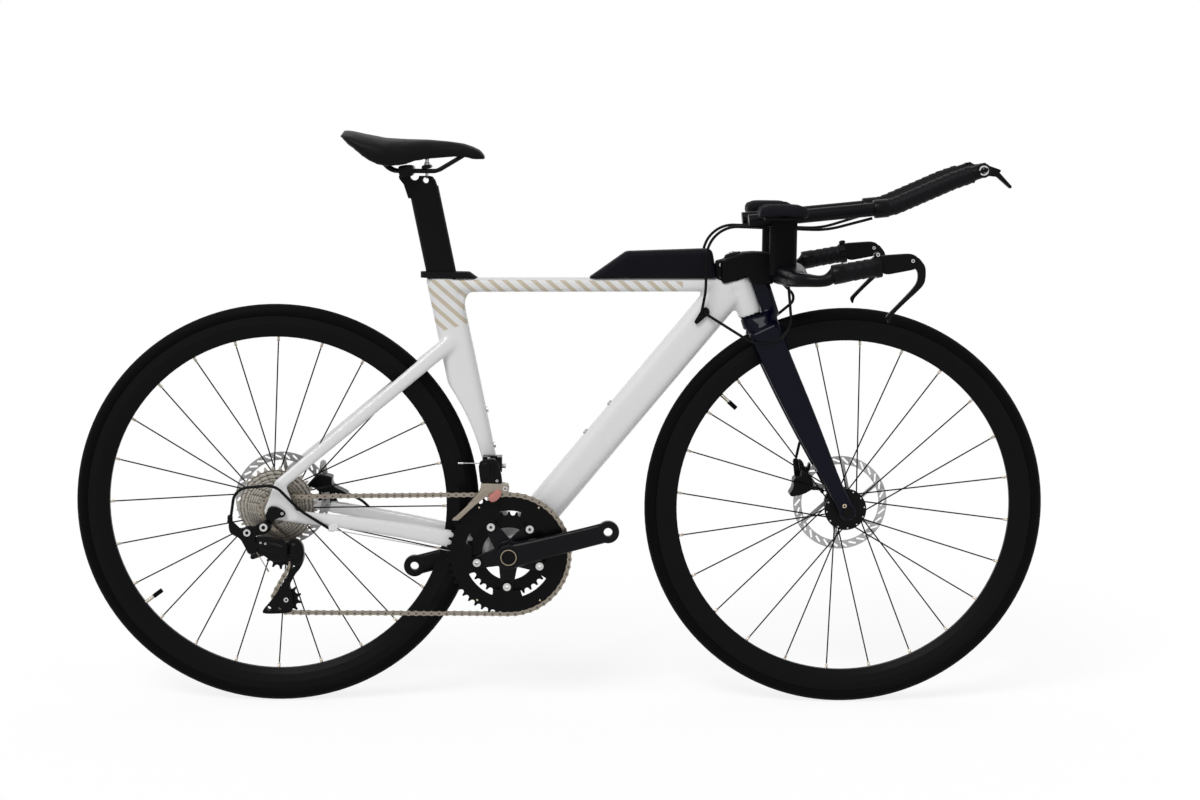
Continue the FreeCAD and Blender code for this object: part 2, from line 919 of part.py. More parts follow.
def toothed_wire(teeth, phase):
    """Outline of a sprocket about the origin: a roller seat and a tooth at each pitch."""
    seat_share = math.radians(65)
    tip_share = 0.1
    radius = pitch_radius(teeth)
    roller = n.roller_radius + n.seat_gap
    pitch = 2 * math.pi / teeth
    edges = []
    for i in range(teeth):
        angle = phase + i * pitch
        out = Vector(math.cos(angle), 0, math.sin(angle))
        on = Vector(-math.sin(angle), 0, math.cos(angle))
        low = out * (radius - roller * math.cos(seat_share))
        reach = on * (roller * math.sin(seat_share))
        spots = [low - reach, out * (radius - roller), low + reach]
        for share in (0.5 - tip_share, 0.5 + tip_share):
            turn = angle + pitch * share
            top = radius + n.tooth_height
            spots.append(Vector(top * math.cos(turn), 0, top * math.sin(turn)))
        angle += pitch
        out = Vector(math.cos(angle), 0, math.sin(angle))
        on = Vector(-math.sin(angle), 0, math.cos(angle))
        low = out * (radius - roller * math.cos(seat_share))
        spots.append(low - on * (roller * math.sin(seat_share)))
        edges.append(Part.Arc(*spots[:3]).toShape())
        edges.append(Part.LineSegment(spots[2], spots[3]).toShape())
        edges.append(Part.LineSegment(spots[3], spots[4]).toShape())
        edges.append(Part.LineSegment(spots[4], spots[5]).toShape())
    return Part.Wire(edges)


def sprocket(teeth, phase, thickness, bore, holes=()):
    """A toothed disc about the origin with a round bore and other round holes (x, z, radius)."""
    disc = Part.Face(toothed_wire(teeth, phase)).extrude(LEFT * thickness)
    tools = []
    for x, z, radius in ((0, 0, bore),) + tuple(holes):
        tools.append(Part.makeCylinder(radius, thickness, Vector(x, 0, z), LEFT))
    disc = disc.cut(tools)
    disc.translate(LEFT * (-thickness / 2))
    return disc


def tangent(first, last):
    """Heading and ends of the run between two wheels given as (centre, radius, turn)."""
    span = last[0] - first[0]
    heading = math.atan2(span.z, span.x)
    heading -= math.asin((last[2] * last[1] - first[2] * first[1]) / span.Length)
    side = Vector(-math.sin(heading), 0, math.cos(heading))
    return heading, first[0] - side * (first[2] * first[1]), last[0] - side * (last[2] * last[1])


guide = rear_hub + AHEAD * n.guide_ahead - UP * n.guide_below
wheel_teeth = (CHAINRING_TEETH[0], COG_TEETH[0], PULLEY_TEETH, PULLEY_TEETH)
wheel_turns = (1, 1, -1, 1)
wheel_lines = (-n.ring_line, -n.cog_line, -n.cog_line, -n.cog_line)


def chain_course(cage_degrees):
    """Wraps and runs of the chain, each with its length counted in links."""
    tension = polar(guide, n.cage_span, cage_degrees)
    centres = (bracket, rear_hub, guide, tension)
    wheels = [(c, pitch_radius(t), s) for c, t, s in zip(centres, wheel_teeth, wheel_turns)]
    runs = [tangent(wheels[i], wheels[(i + 1) % 4]) for i in range(4)]
    course = []
    for i in range(4):
        turn = wheel_turns[i]
        wrap = (turn * (runs[i][0] - runs[i - 1][0])) % (2 * math.pi)
        start = runs[i - 1][0] - turn * math.pi / 2
        course.append(("wrap", i, start, wrap * wheel_teeth[i] / (2 * math.pi)))
        step = wheel_lines[(i + 1) % 4] - wheel_lines[i]
        length = math.hypot((runs[i][2] - runs[i][1]).Length, step)
        course.append(("run", i, runs[i], length / n.chain_pitch))
    return course, wheels


def links_in(cage_degrees):
    return sum(stage[3] for stage in chain_course(cage_degrees)[0])


cage_rest = -88
cage_reach = 40
link_count = 2 * round(links_in(cage_rest) / 2)
low_angle = cage_rest - cage_reach
high_angle = cage_rest + cage_reach
falling = links_in(low_angle) > links_in(high_angle)
for _ in range(60):
    cage_degrees = (low_angle + high_angle) / 2
    if (links_in(cage_degrees) > link_count) == falling:
        low_angle = cage_degrees
    else:
        high_angle = cage_degrees
course, chain_wheels = chain_course(cage_degrees)
tension = chain_wheels[3][0]


def chain_spot(place):
    """The pin at a place along the course, with the sideways step led in along each long run."""
    for kind, i, start, length in course:
        if place > length:
            place -= length
            continue
        centre, radius, turn = chain_wheels[i]
        if kind == "wrap":
            angle = start + turn * place * 2 * math.pi / wheel_teeth[i]
            return polar(centre, radius, math.degrees(angle), wheel_lines[i])
        spot = between(start[1], start[2], place / length)
        lead = n.chain_run_in / n.chain_pitch
        share = min(max((place - lead) / max(length - 2 * lead, 1), 0), 1)
        step = wheel_lines[(i + 1) % 4] - wheel_lines[i]
        return spot + LEFT * (wheel_lines[i] + step * share)
    return chain_spot(0)


def wheel_phase(index):
    """The turn at which a wheel's roller seat meets a pin of the chain."""
    place = 0
    for kind, i, start, length in course:
        if kind == "wrap" and i == index:
            first = math.ceil(place) - place
            return start + wheel_turns[i] * first * 2 * math.pi / wheel_teeth[i]
        place += length
    return 0


def link_plate(inner, outer):
    """One pair of waisted side plates from pin to pin."""
    radius = n.chain_plate_radius
    lift_share = math.sqrt(0.75)
    x = radius / 2
    z = radius * lift_share
    far = n.chain_pitch - x
    middle = n.chain_pitch / 2
    top = Part.Arc(Vector(x, 0, z), Vector(middle, 0, n.chain_waist), Vector(far, 0, z))
    low = Part.Arc(Vector(far, 0, -z), Vector(middle, 0, -n.chain_waist), Vector(x, 0, -z))
    right = Part.Arc(Vector(far, 0, z), Vector(n.chain_pitch + radius, 0, 0), Vector(far, 0, -z))
    left = Part.Arc(Vector(x, 0, -z), Vector(-radius, 0, 0), Vector(x, 0, z))
    face = Part.Face(Part.Wire([top.toShape(), right.toShape(), low.toShape(), left.toShape()]))
    near = face.extrude(LEFT * (outer - inner))
    away = near.copy()
    near.translate(LEFT * inner)
    away.translate(LEFT * -outer)
    return [near, away]


def chain():
    pin_hole = n.chain_pin_radius + n.chain_pin_gap
    width = n.chain_inner_half * 2
    inner_out = n.chain_inner_half + n.chain_plate
    narrow = link_plate(n.chain_inner_half, inner_out)
    bores = []
    for x in (0, n.chain_pitch):
        narrow.append(Part.makeCylinder(n.roller_radius, width, Vector(x, -n.chain_inner_half, 0), LEFT))
        bores.append(Part.makeCylinder(pin_hole, inner_out * 2, Vector(x, -inner_out, 0), LEFT))
    narrow = narrow[0].fuse(narrow[1:]).cut(bores).removeSplitter()
    wide = link_plate(n.chain_outer_half, n.chain_outer_half + n.chain_plate)
    for x in (0, n.chain_pitch):
        base = Vector(x, -n.chain_pin_half, 0)
        wide.append(Part.makeCylinder(n.chain_pin_radius, n.chain_pin_half * 2, base, LEFT))
    wide = wide[0].fuse(wide[1:]).removeSplitter()
    spots = [chain_spot(i) for i in range(link_count)]
    shapes = []
    for i, spot in enumerate(spots):
        heading = (spots[(i + 1) % link_count] - spot).normalize()
        shape = (wide if i % 2 else narrow).copy()
        shape.Placement = Placement(spot, Rotation(heading, LEFT, UP, "XYZ"))
        shapes.append(shape)
    return shaped(Part.Compound(shapes))


named("chain", chain())


def cassette():
    """Graded cogs with thin spacers, smallest outermost."""
    spacer_share = 0.8
    window_share = 0.62
    windows = 10
    bore = n.freehub_radius + n.running_gap
    shapes = []
    for i, teeth in enumerate(COG_TEETH):
        phase = wheel_phase(1) if i == 0 else 0
        radius = pitch_radius(teeth)
        room = radius - n.roller_radius - n.seat_gap - bore
        spacing = (bore + room / 2) * 2 * math.pi / windows
        window = min(room, spacing) * window_share / 2
        holes = []
        if room > n.cog_band:
            for k in range(windows):
                spot = polar(Vector(0, 0, 0), bore + room / 2, k * FULL_TURN / windows)
                holes.append((spot.x, spot.z, window))
        cog = sprocket(teeth, phase, n.cog_thickness, bore, holes)
        side = i * n.cog_step - n.cog_line
        cog.translate(rear_hub + LEFT * side)
        shapes.append(cog)
        if i:
            gap = n.cog_step - n.cog_thickness
            base = rear_hub + LEFT * (side - n.cog_thickness / 2 - gap)
            spacer = Part.makeCylinder(bore + spacer_share, gap, base, LEFT)
            shapes.append(spacer.cut(Part.makeCylinder(bore, gap, base, LEFT)))
    return shaped(Part.Compound(shapes))


freehub = ring(d.freehub_radius, d.axle_radius + d.running_gap, -d.freehub_end, -d.freehub_start)
freehub_body = turned(freehub, along_y(rear_hub))
lockring_start = -d.freehub_end
lockring = ring(d.lockring_radius, d.axle_head_radius, lockring_start - d.lockring_length, lockring_start)
named("cassette", grouped(freehub_body, cassette(), turned(lockring, along_y(rear_hub))))


def pulley(centre, index):
    bore = n.pulley_axle_radius + n.running_gap
    wheel = sprocket(PULLEY_TEETH, wheel_phase(index), n.pulley_thickness, bore)
    base = LEFT * -n.pulley_hub_half
    boss = Part.makeCylinder(n.pulley_hub_radius, n.pulley_hub_half * 2, base, LEFT)
    boss = boss.cut(Part.makeCylinder(bore, n.pulley_hub_half * 2, base, LEFT))
    obj = shaped(wheel.fuse(boss).removeSplitter())
    obj.Placement = along_y(centre - LEFT * n.cog_line)
    return obj


named("guide_pulley", pulley(guide, 2))
named("tension_pulley", pulley(tension, 3))


def bolt_spots(radius):
    """The five places on the bolt circle, two of them beside the crank arm."""
    pitch = FULL_TURN / 5
    return [polar(Vector(0, 0, 0), radius, n.crank_angle + pitch / 2 + i * pitch) for i in range(5)]


def chainring(teeth, phase, band, side):
    """A ring of teeth with five inward lobes that reach the bolts."""
    radius = pitch_radius(teeth)
    bore = radius - band
    disc = sprocket(teeth, phase, n.ring_thickness, bore)
    lobes = []
    holes = []
    for spot in bolt_spots(n.spider_bolt_circle):
        outer = spot * (bore / n.spider_bolt_circle)
        if outer.Length > n.spider_bolt_circle + n.spider_eye_radius:
            circles = [(spot.x, spot.z, n.spider_eye_radius), (outer.x, outer.z, n.spider_eye_radius)]
            lobe = Part.Face(belt_wire(circles)).extrude(LEFT * n.ring_thickness)
            lobe.translate(LEFT * (-n.ring_thickness / 2))
            lobes.append(lobe)
        base = spot - LEFT * n.ring_thickness
        holes.append(Part.makeCylinder(n.ring_bolt_radius, n.ring_thickness * 2, base, LEFT))
    if lobes:
        disc = disc.fuse(lobes)
    disc = disc.cut(holes).removeSplitter()
    obj = shaped(disc)
    obj.Placement = along_y(bracket - LEFT * side)
    return obj


small_radius = pitch_radius(CHAINRING_TEETH[1])
small_band = small_radius - n.spider_bolt_circle + n.spider_eye_radius
named("chainring_outer", chainring(CHAINRING_TEETH[0], wheel_phase(0), n.ring_band, n.ring_line))
inner_line = n.ring_line - n.ring_step
named("chainring_inner", chainring(CHAINRING_TEETH[1], 0, small_band, inner_line))


def ring_bolts():
    """Hollow bolts that hold both rings to the spider."""
    start = -d.ring_line - d.ring_thickness / 2 - d.ring_bolt_head
    end = -d.ring_line + d.ring_step + d.ring_thickness / 2
    head_end = start + d.ring_bolt_head
    corners = [
        (d.ring_bolt_recess, start),
        (d.ring_bolt_head_radius, start),
        (d.ring_bolt_head_radius, head_end),
        (d.ring_bolt_radius, head_end),
        (d.ring_bolt_radius, end),
        (d.ring_bolt_recess, end),
    ]
    bolts = []
    for spot in bolt_spots(n.spider_bolt_circle):
        bolts.append(turned(corners, along_y(bracket + spot)))
    return grouped(*bolts)


named("chainring_bolts", ring_bolts())


def crank_arm(side, degrees):
    """A tapered arm with an eye for the pedal; side is -1 for the drive side."""
    end = polar(bracket, n.crank_length, degrees)
    mid_share = 0.45
    middle = between(bracket, end, mid_share)
    stations = [
        (bracket + LEFT * (side * n.crank_root_side), n.crank_root_depth, n.crank_root_width),
        (middle + LEFT * (side * n.crank_mid_side), n.crank_mid_depth, n.crank_mid_width),
        (end + LEFT * (side * n.crank_end_side), n.crank_end_depth, n.crank_end_width),
    ]
    arm = tube(stations, end - bracket)
    eye_start = end + LEFT * (side * n.crank_end_side - n.crank_end_width / 2)
    eye = rod(d.crank_eye_radius, d.crank_end_width, eye_start, LEFT)
    hole = rod(d.pedal_hole_radius, d.crank_end_width, eye_start, LEFT)
    return arm, eye, hole


right_arm, right_eye, right_hole = crank_arm(-1, n.crank_angle)
boss_length = d.crank_root_side + d.crank_root_width / 2 - d.ring_line
boss_length = boss_length + d.ring_step / 2 + d.spider_thickness / 2
right_boss_start = bracket - LEFT * (n.crank_root_side + n.crank_root_width / 2)
right_boss = rod(d.crank_boss_radius, boss_length, right_boss_start, LEFT)
spider_line = -n.ring_line + n.ring_step / 2
spider_base = bracket + LEFT * (spider_line - n.spider_thickness / 2)
spider = [rod(d.spider_radius, d.spider_thickness, spider_base, LEFT)]
for spot in bolt_spots(n.spider_bolt_circle):
    eye_spot = bracket + spot
    circles = [
        (bracket.x, bracket.z, n.spider_root_radius),
        (eye_spot.x, eye_spot.z, n.spider_eye_radius),
    ]
    spider.append(belt(circles, d.spider_thickness, spider_line))
bolt_holes = []
for spot in bolt_spots(n.spider_bolt_circle):
    base = bracket + spot + LEFT * (spider_line - n.spider_thickness)
    bolt_holes.append(rod(d.ring_bolt_radius, d.spider_thickness * 2, base, LEFT))
spindle_base = bracket - LEFT * n.spindle_half
spindle_hole = rod(d.spindle_radius, d.spindle_half * 2, spindle_base, LEFT)
right_solid = fused(right_arm, right_eye, right_boss, *spider)
named("crank_right", cut(right_solid, right_hole, spindle_hole, *bolt_holes))
left_arm, left_eye, left_hole = crank_arm(1, n.crank_angle + FULL_TURN / 2)
left_boss_length = d.crank_root_side + d.crank_root_width / 2 - d.left_boss_start
left_boss = rod(d.crank_boss_radius, left_boss_length, bracket + LEFT * n.left_boss_start, LEFT)
left_spindle_hole = rod(d.spindle_radius, d.spindle_half * 2, spindle_base, LEFT)
named("crank_left", cut(fused(left_arm, left_eye, left_boss), left_hole, left_spindle_hole))
spindle = rod(d.spindle_radius, d.spindle_half * 2, spindle_base, LEFT)
cap_base = bracket - LEFT * (n.crank_root_side + n.crank_root_width / 2)
crank_cap = rod(d.crank_cap_radius, d.crank_cap_length, cap_base, -LEFT)
named("crank_spindle", fused(spindle, crank_cap))


# Frame: deep tubes, stays and drop-outs joined into one shell.
seat_tube_shares = (0, 0.4, 1)
seat_sections = []
for share in seat_tube_shares:
    width = n.seat_tube_foot_width + (n.seat_tube_width - n.seat_tube_foot_width) * min(share * 2, 1)
    seat_sections.append((seat(n.seat_tube_length * share), n.seat_tube_depth, width))
seat_sections.append((seat(n.seat_tube_length + n.seat_top_trim), n.seat_tube_depth, n.seat_tube_width))
trim_spot = seat_top + UP * n.seat_tube_depth
top_trim = block(d.seat_tube_depth * 2, d.seat_tube_depth * 2, d.seat_tube_depth * 2, trim_spot)
seat_tube_whole = cut(tube(seat_sections, seat_up), top_trim)
wheel_cut_radius = d.bead_radius + d.tyre_width + d.wheel_cut_gap
wheel_cut = rod(wheel_cut_radius, d.wheel_cut_width, rear_hub - LEFT * (n.wheel_cut_width / 2), LEFT)
seat_tube = cut(seat_tube_whole, wheel_cut)
top_rear = Vector(seat_top.x, 0, seat_top.z - n.top_tube_depth / 2)
top_front = Vector(head_top.x, 0, head_top.z - n.top_tube_front_below)
top_tube = tube(
    [(top_rear, n.top_tube_depth, n.top_tube_width), (top_front, n.top_tube_depth, n.top_tube_front_width)],
    top_front - top_rear,
    round_share=0.4,
)
down_end = steer(n.crown_height + n.head_length - n.down_tube_end_below, -n.down_tube_end_behind)
foot_share = 0.25
down_tube = tube(
    [
        (bracket, n.down_tube_depth, n.down_tube_foot_width),
        (between(bracket, down_end, foot_share), n.down_tube_depth, n.down_tube_width),
        (down_end, n.down_tube_depth, n.top_tube_front_width),
    ],
    down_end - bracket,
    round_share=0.44,
)
head_tube = rod(d.head_radius, d.head_length, head_low, steer_up)
shell = rod(d.shell_radius, d.shell_half * 2, bracket - LEFT * n.shell_half, LEFT)


def corner_web():
    """The rounded inside corner between seat tube and top tube."""
    under = top_rear.z - n.top_tube_depth / 2
    rise = (under - seat_foot.z) / seat_up.z
    corner = seat(rise, n.seat_tube_depth / 2)
    reach = n.gusset_reach
    along = (top_front - top_rear).normalize()
    level = corner + along * reach
    low = corner - seat_up * reach
    middle_share = 0.3
    middle = corner + (along - seat_up) * (reach * middle_share)
    inside = corner + (seat_up - along) * (reach / 3)
    low_in = low - along * (reach / 3)
    level_in = level + seat_up * (reach / 3)
    edges = [
        Part.Arc(level, middle, low).toShape(),
        Part.LineSegment(low, low_in).toShape(),
        Part.LineSegment(low_in, inside).toShape(),
        Part.LineSegment(inside, level_in).toShape(),
        Part.LineSegment(level_in, level).toShape(),
    ]
    return plate(Part.Wire(edges), d.gusset_width, 0)


drop_low = rear_hub + AHEAD * n.dropout_reach - UP * n.dropout_fall
drop_high = rear_hub + AHEAD * n.stay_end_ahead + UP * n.stay_end_rise
chainstay_shares = ((0.09, 0), (0.27, 0.17), (0.51, 0.44), (0.83, 0.77), (1, 1))
seatstay_shares = ((0, 0), (0.175, 0.27), (0.566, 0.64), (1, 1))


def mix(first, last, share):
    return first + (last - first) * share


def chainstay():
    stations = []
    for along, out in chainstay_shares:
        side = mix(n.chainstay_root_side, n.chainstay_end_side, out)
        bow = n.chainstay_bow * 4 * along * (1 - along)
        centre = between(bracket, drop_low, along) + UP * bow - LEFT * side
        depth = mix(n.chainstay_root_depth, n.chainstay_end_depth, along)
        stations.append((centre, depth, mix(n.chainstay_root_width, n.chainstay_end_width, along)))
    return tube(stations, drop_low - bracket)


def seatstay():
    stations = []
    high = seat(n.stay_join)
    for along, out in seatstay_shares:
        side = mix(n.stay_join_side, n.seatstay_end_side, out)
        depth = mix(n.seatstay_root_depth, n.seatstay_end_depth, along)
        centre = between(high, drop_high, along) - LEFT * side
        stations.append((centre, depth, mix(n.seatstay_root_width, n.seatstay_end_width, along)))
    return tube(stations, drop_high - high)


def dropout():
    circles = [
        (rear_hub.x, rear_hub.z, n.dropout_radius),
        (drop_low.x, drop_low.z, n.dropout_stay_radius),
        (drop_high.x, drop_high.z, n.dropout_stay_radius),
    ]
    return belt(circles, d.dropout_thickness, -n.dropout_inner - n.dropout_thickness / 2)


right_stays = [chainstay(), seatstay(), dropout()]
left_stays = [mirrored(piece) for piece in right_stays]
post_turn = Rotation(seat_ahead, LEFT, seat_up, "ZXY")


def post_prism(gap, length, base):
    """A length of the seatpost's aero section, grown by a gap all round."""
    corner = n.post_tail + gap
    wire = shaped(rounded_wire(n.post_depth + 2 * gap, n.post_width + 2 * gap, corner))
    wire.Placement = Placement(base, post_turn)
    obj = doc.addObject("Part::Extrusion", "Post")
    obj.Base = wire
    obj.DirMode = "Custom"
    obj.Dir = seat_up
    bind(obj, LengthFwd=length)
    obj.Solid = True
    return obj


def bottle_bolt(spot, normal):
    """A cage bolt: a domed head that stands on the tube and a shank in its hole."""
    head = rod(d.bottle_boss_radius, d.bottle_bolt_head, spot, normal)
    shank = rod(d.bottle_bolt_radius, d.bottle_bolt_length, spot, -normal)
    recess = rod(d.bottle_bolt_radius, d.bottle_bolt_head, spot + normal * (n.bottle_bolt_head / 2), normal)
    return cut(fused(head, shank), recess), rod(d.bottle_bolt_radius, d.bottle_bolt_length, spot, -normal)


down_heading = (down_end - bracket).normalize()
down_normal = down_heading.cross(LEFT).normalize() * -1
if down_normal.z < 0:
    down_normal = down_normal * -1
down_bolt_shares = (0.413, 0.523)
seat_bolt_shares = (0.38, 0.51)
bottle_bolts = []
bottle_holes = []
for share in down_bolt_shares:
    spot = between(bracket, down_end, share) + down_normal * (n.down_tube_depth / 2)
    bolt, hole = bottle_bolt(spot, down_normal)
    bottle_bolts.append(bolt)
    bottle_holes.append(hole)
for share in seat_bolt_shares:
    bolt, hole = bottle_bolt(seat(n.seat_tube_length * share, n.seat_tube_depth / 2), seat_ahead)
    bottle_bolts.append(bolt)
    bottle_holes.append(hole)
post_room = d.post_insert * 2
pocket_base = seat(n.seat_tube_length - n.post_insert - n.crown_gap)
axle_hole = rod(d.axle_radius, d.dropout_inner * 4, rear_hub - LEFT * (n.dropout_inner * 2), LEFT)
frame_solid = fused(
    seat_tube, top_tube, down_tube, head_tube, shell, corner_web(), *right_stays, *left_stays
)
frame_cuts = [
    rod(d.head_bore, d.head_length * 2, head_low - steer_up * (n.head_length / 2), steer_up),
    rod(d.cup_radius, d.shell_half * 4, bracket - LEFT * (n.shell_half * 2), LEFT),
    rod(d.stem_well_radius, d.head_length, head_top, steer_up),
    post_prism(n.post_gap, post_room, pocket_base),
    axle_hole,
]
named("frame", cut(frame_solid, *frame_cuts, *bottle_holes))
named("bottle_bolts", grouped(*bottle_bolts))
bearing = ring(d.head_bore, d.steerer_radius + d.running_gap, d.running_gap, d.bearing_height)
head_turned = Rotation(LEFT, steer_up)
low_bearing = turned(bearing, Placement(head_low, head_turned))
high_bearing_base = head_top - steer_up * (n.bearing_height + n.running_gap)
high_bearing = turned(bearing, Placement(high_bearing_base, head_turned))
cup_bore = d.spindle_radius + d.running_gap
cup = [
    (cup_bore, d.shell_half - d.cup_length),
    (d.cup_radius, d.shell_half - d.cup_length),
    (d.cup_radius, d.shell_half),
    (d.cup_flange_radius, d.shell_half),
    (d.cup_flange_radius, d.shell_half + d.cup_flange_length),
    (cup_bore, d.shell_half + d.cup_flange_length),
]
right_cup = turned(cup, along_y(bracket))
named("frame_bearings", grouped(low_bearing, high_bearing, right_cup, mirrored(right_cup)))


# Fork: crown, two deep legs, a spar ahead of the head tube and the inner steerer.
leg_shares = ((0.934, 0.246), (0.789, 0.32), (0.402, 0.627), (0.152, 0.842), (0, 1))
leg_sections = (
    (n.leg_top_side, n.leg_top_depth, n.leg_top_width),
    (n.leg_knee_side, n.leg_knee_depth, n.leg_knee_width),
    (n.leg_mid_side, n.leg_mid_depth, n.leg_mid_width),
    (n.leg_low_side, n.leg_low_depth, n.leg_low_width),
    (n.fork_end_inner + n.fork_end_width / 2, n.leg_end_depth, n.fork_end_width),
)


def fork_leg():
    stations = []
    for (up, ahead), (side, depth, width) in zip(leg_shares, leg_sections):
        stations.append((steer(n.crown_height * up, n.fork_rake * ahead, -side), depth, width))
    return tube(stations, stations[0][0] - LEFT * stations[0][0].y - front_hub)


crown_top = n.crown_height - n.crown_gap
crown = tube(
    [
        (steer(crown_top - n.crown_low, n.crown_ahead), n.crown_depth, n.crown_low_width),
        (steer(crown_top - n.crown_mid, n.crown_ahead), n.crown_depth, n.crown_mid_width),
        (steer(crown_top, n.crown_ahead), n.crown_depth, n.crown_width),
    ],
    steer_up,
)
spar_ahead = n.spar_near + n.spar_depth / 2
spar_top = n.crown_height + n.head_length + n.crown_gap
spar = tube(
    [
        (steer(crown_top - n.crown_drop / 2, spar_ahead), n.spar_depth, n.spar_width),
        (steer(spar_top, spar_ahead), n.spar_depth, n.spar_width),
    ],
    steer_up,
    round_share=0.4,
)
steerer_length = d.head_length + d.stem_height + d.crown_drop / 2 + d.crown_gap
steerer = rod(d.steerer_radius, steerer_length, steer(crown_top - n.crown_drop / 2), steer_up)
right_leg = fork_leg()
left_leg = mirrored(right_leg)
fork_end = rod(d.fork_end_radius, d.fork_end_width, front_hub - LEFT * n.fork_end_inner, -LEFT)
front_well = rod(
    d.bead_radius + d.tyre_width + d.fork_well_gap,
    d.fork_well_half * 2,
    front_hub - LEFT * n.fork_well_half,
    LEFT,
)
front_axle_hole = rod(d.axle_radius, d.fork_end_inner * 4, front_hub - LEFT * (n.fork_end_inner * 2), LEFT)
crown_solid = fused(crown, spar, right_leg, left_leg, fork_end, mirrored(fork_end))
named("fork", fused(cut(crown_solid, front_well, front_axle_hole), steerer))

# Stem, base bar, risers and extensions, measured from the top of the head tube.
stem_base = head_top + steer_up * n.crown_gap
stem_cone = [
    (d.steerer_radius, 0),
    (d.stem_foot_radius, 0),
    (d.stem_top_radius, d.stem_height),
    (d.steerer_radius, d.stem_height),
]
stem_core = turned(stem_cone, Placement(stem_base, head_turned))
stem_mid = stem_base + steer_up * (n.stem_height / 2)
stem_arm = tube(
    [
        (stem_mid + steer_ahead * n.stem_top_radius, n.stem_height, n.stem_width),
        (stem_mid + steer_ahead * n.stem_reach, n.stem_height, n.stem_width),
    ],
    steer_ahead,
    round_share=0.3,
)
stem_cap = rod(d.stem_top_radius, d.crown_gap * 2, stem_base + steer_up * n.stem_height, steer_up)
bar_centre = Vector(head_top.x + n.bar_ahead, 0, head_top.z + n.bar_above)


def cockpit(ahead, side, above):
    """A point measured from the middle of the head tube's top."""
    return Vector(head_top.x + ahead, side, head_top.z + above)


grip_start = cockpit(n.bar_ahead, -n.bar_side, n.bar_above)
grip_end = grip_start + AHEAD * n.grip_length + UP * n.grip_rise
grip_heading = (grip_end - grip_start).normalize()
wing_shares = ((-1, 1), (-0.93, 0.75), (-0.6, 0.35), (-0.3, 0), (0.3, 0), (0.6, 0.35), (0.93, 0.75), (1, 1))
wing_stations = []
for out, taper in wing_shares:
    centre = bar_centre + LEFT * ((n.bar_side - n.bar_bend) * out)
    chord = mix(n.bar_chord, n.bar_tip_chord, taper)
    wing_stations.append((centre, chord, mix(n.bar_height, n.bar_tip_height, taper)))
wing = tube(wing_stations, -LEFT, AHEAD)
bend_shares = (0, 0.34, 0.67, 1)


def bar_bend():
    """The bar's end: it turns forward, narrows and swells again into the grip."""
    centre = bar_centre + AHEAD * n.bar_bend - LEFT * (n.bar_side - n.bar_bend)
    sections = []
    for share in bend_shares:
        turn = share * math.pi / 2
        spot = centre - (AHEAD * math.cos(turn) + LEFT * math.sin(turn)) * n.bar_bend
        along = (grip_heading * math.sin(turn) - LEFT * math.cos(turn)).normalize()
        chord = mix(n.bar_tip_chord, n.grip_radius * 2, share)
        sections.append((spot, along, chord, mix(n.bar_tip_height, n.bar_neck_height, share)))
    full = n.grip_radius * 2
    sections.append((grip_start + grip_heading * n.grip_tape_start, grip_heading, full, full))
    outlines = []
    for spot, along, chord, height in sections:
        level = UP.cross(along).normalize()
        outline = shaped(rounded_wire(chord, height, min(chord, height) * bend_round_share))
        outline.Placement = Placement(spot, Rotation(level, along.cross(level), along, "ZXY"))
        outlines.append(outline)
    return lofted(outlines)


bend_round_share = 0.46
grip_straight = grip_start + grip_heading * n.grip_tape_start
grip_tube = rod(d.grip_radius, d.grip_length - d.grip_tape_start, grip_straight, grip_heading)
grip_end_bar = fused(bar_bend(), grip_tube)
bar_blank = fused(wing, grip_end_bar, mirrored(grip_end_bar))
stem_bore = rod(d.steerer_radius, d.stem_height, stem_base, steer_up)
stem_blank = fused(cut(fused(stem_core, stem_arm), stem_bore), stem_cap)
named("stem", stem_blank)
named("base_bar", cut(bar_blank, stem_blank, spar))
tape_base = grip_start + grip_heading * n.grip_tape_start
tape_length = d.grip_length - d.grip_tape_start
grip_outside = rod(d.grip_radius + d.grip_tape, tape_length, tape_base, grip_heading)
grip_cover = cut(grip_outside, rod(d.grip_radius, d.grip_length, grip_start, grip_heading))

extension_line = n.extension_above - n.extension_radius
extension_spots = [
    cockpit(n.extension_tail, -n.riser_side, extension_line),
    cockpit(n.extension_level, -n.riser_side, extension_line + n.extension_level_rise),
]
extension_spots.append(extension_spots[-1] + AHEAD * n.extension_slope + UP * n.extension_slope_rise)
extension_spots.append(extension_spots[-1] + AHEAD * n.extension_end + UP * n.extension_end_rise)
extension_bends = [n.extension_bend, n.extension_bend]
right_extension = swept(d.extension_radius, extension_spots, extension_bends)
named("extensions", both(right_extension))
cover_share = 0.88
cover_spots = [between(extension_spots[0], extension_spots[1], cover_share)] + extension_spots[1:]
cover = swept(d.extension_radius + d.extension_tape, cover_spots, extension_bends)
right_tape = grouped(grip_cover, cut(cover, right_extension))
named("bar_tape", both(right_tape))

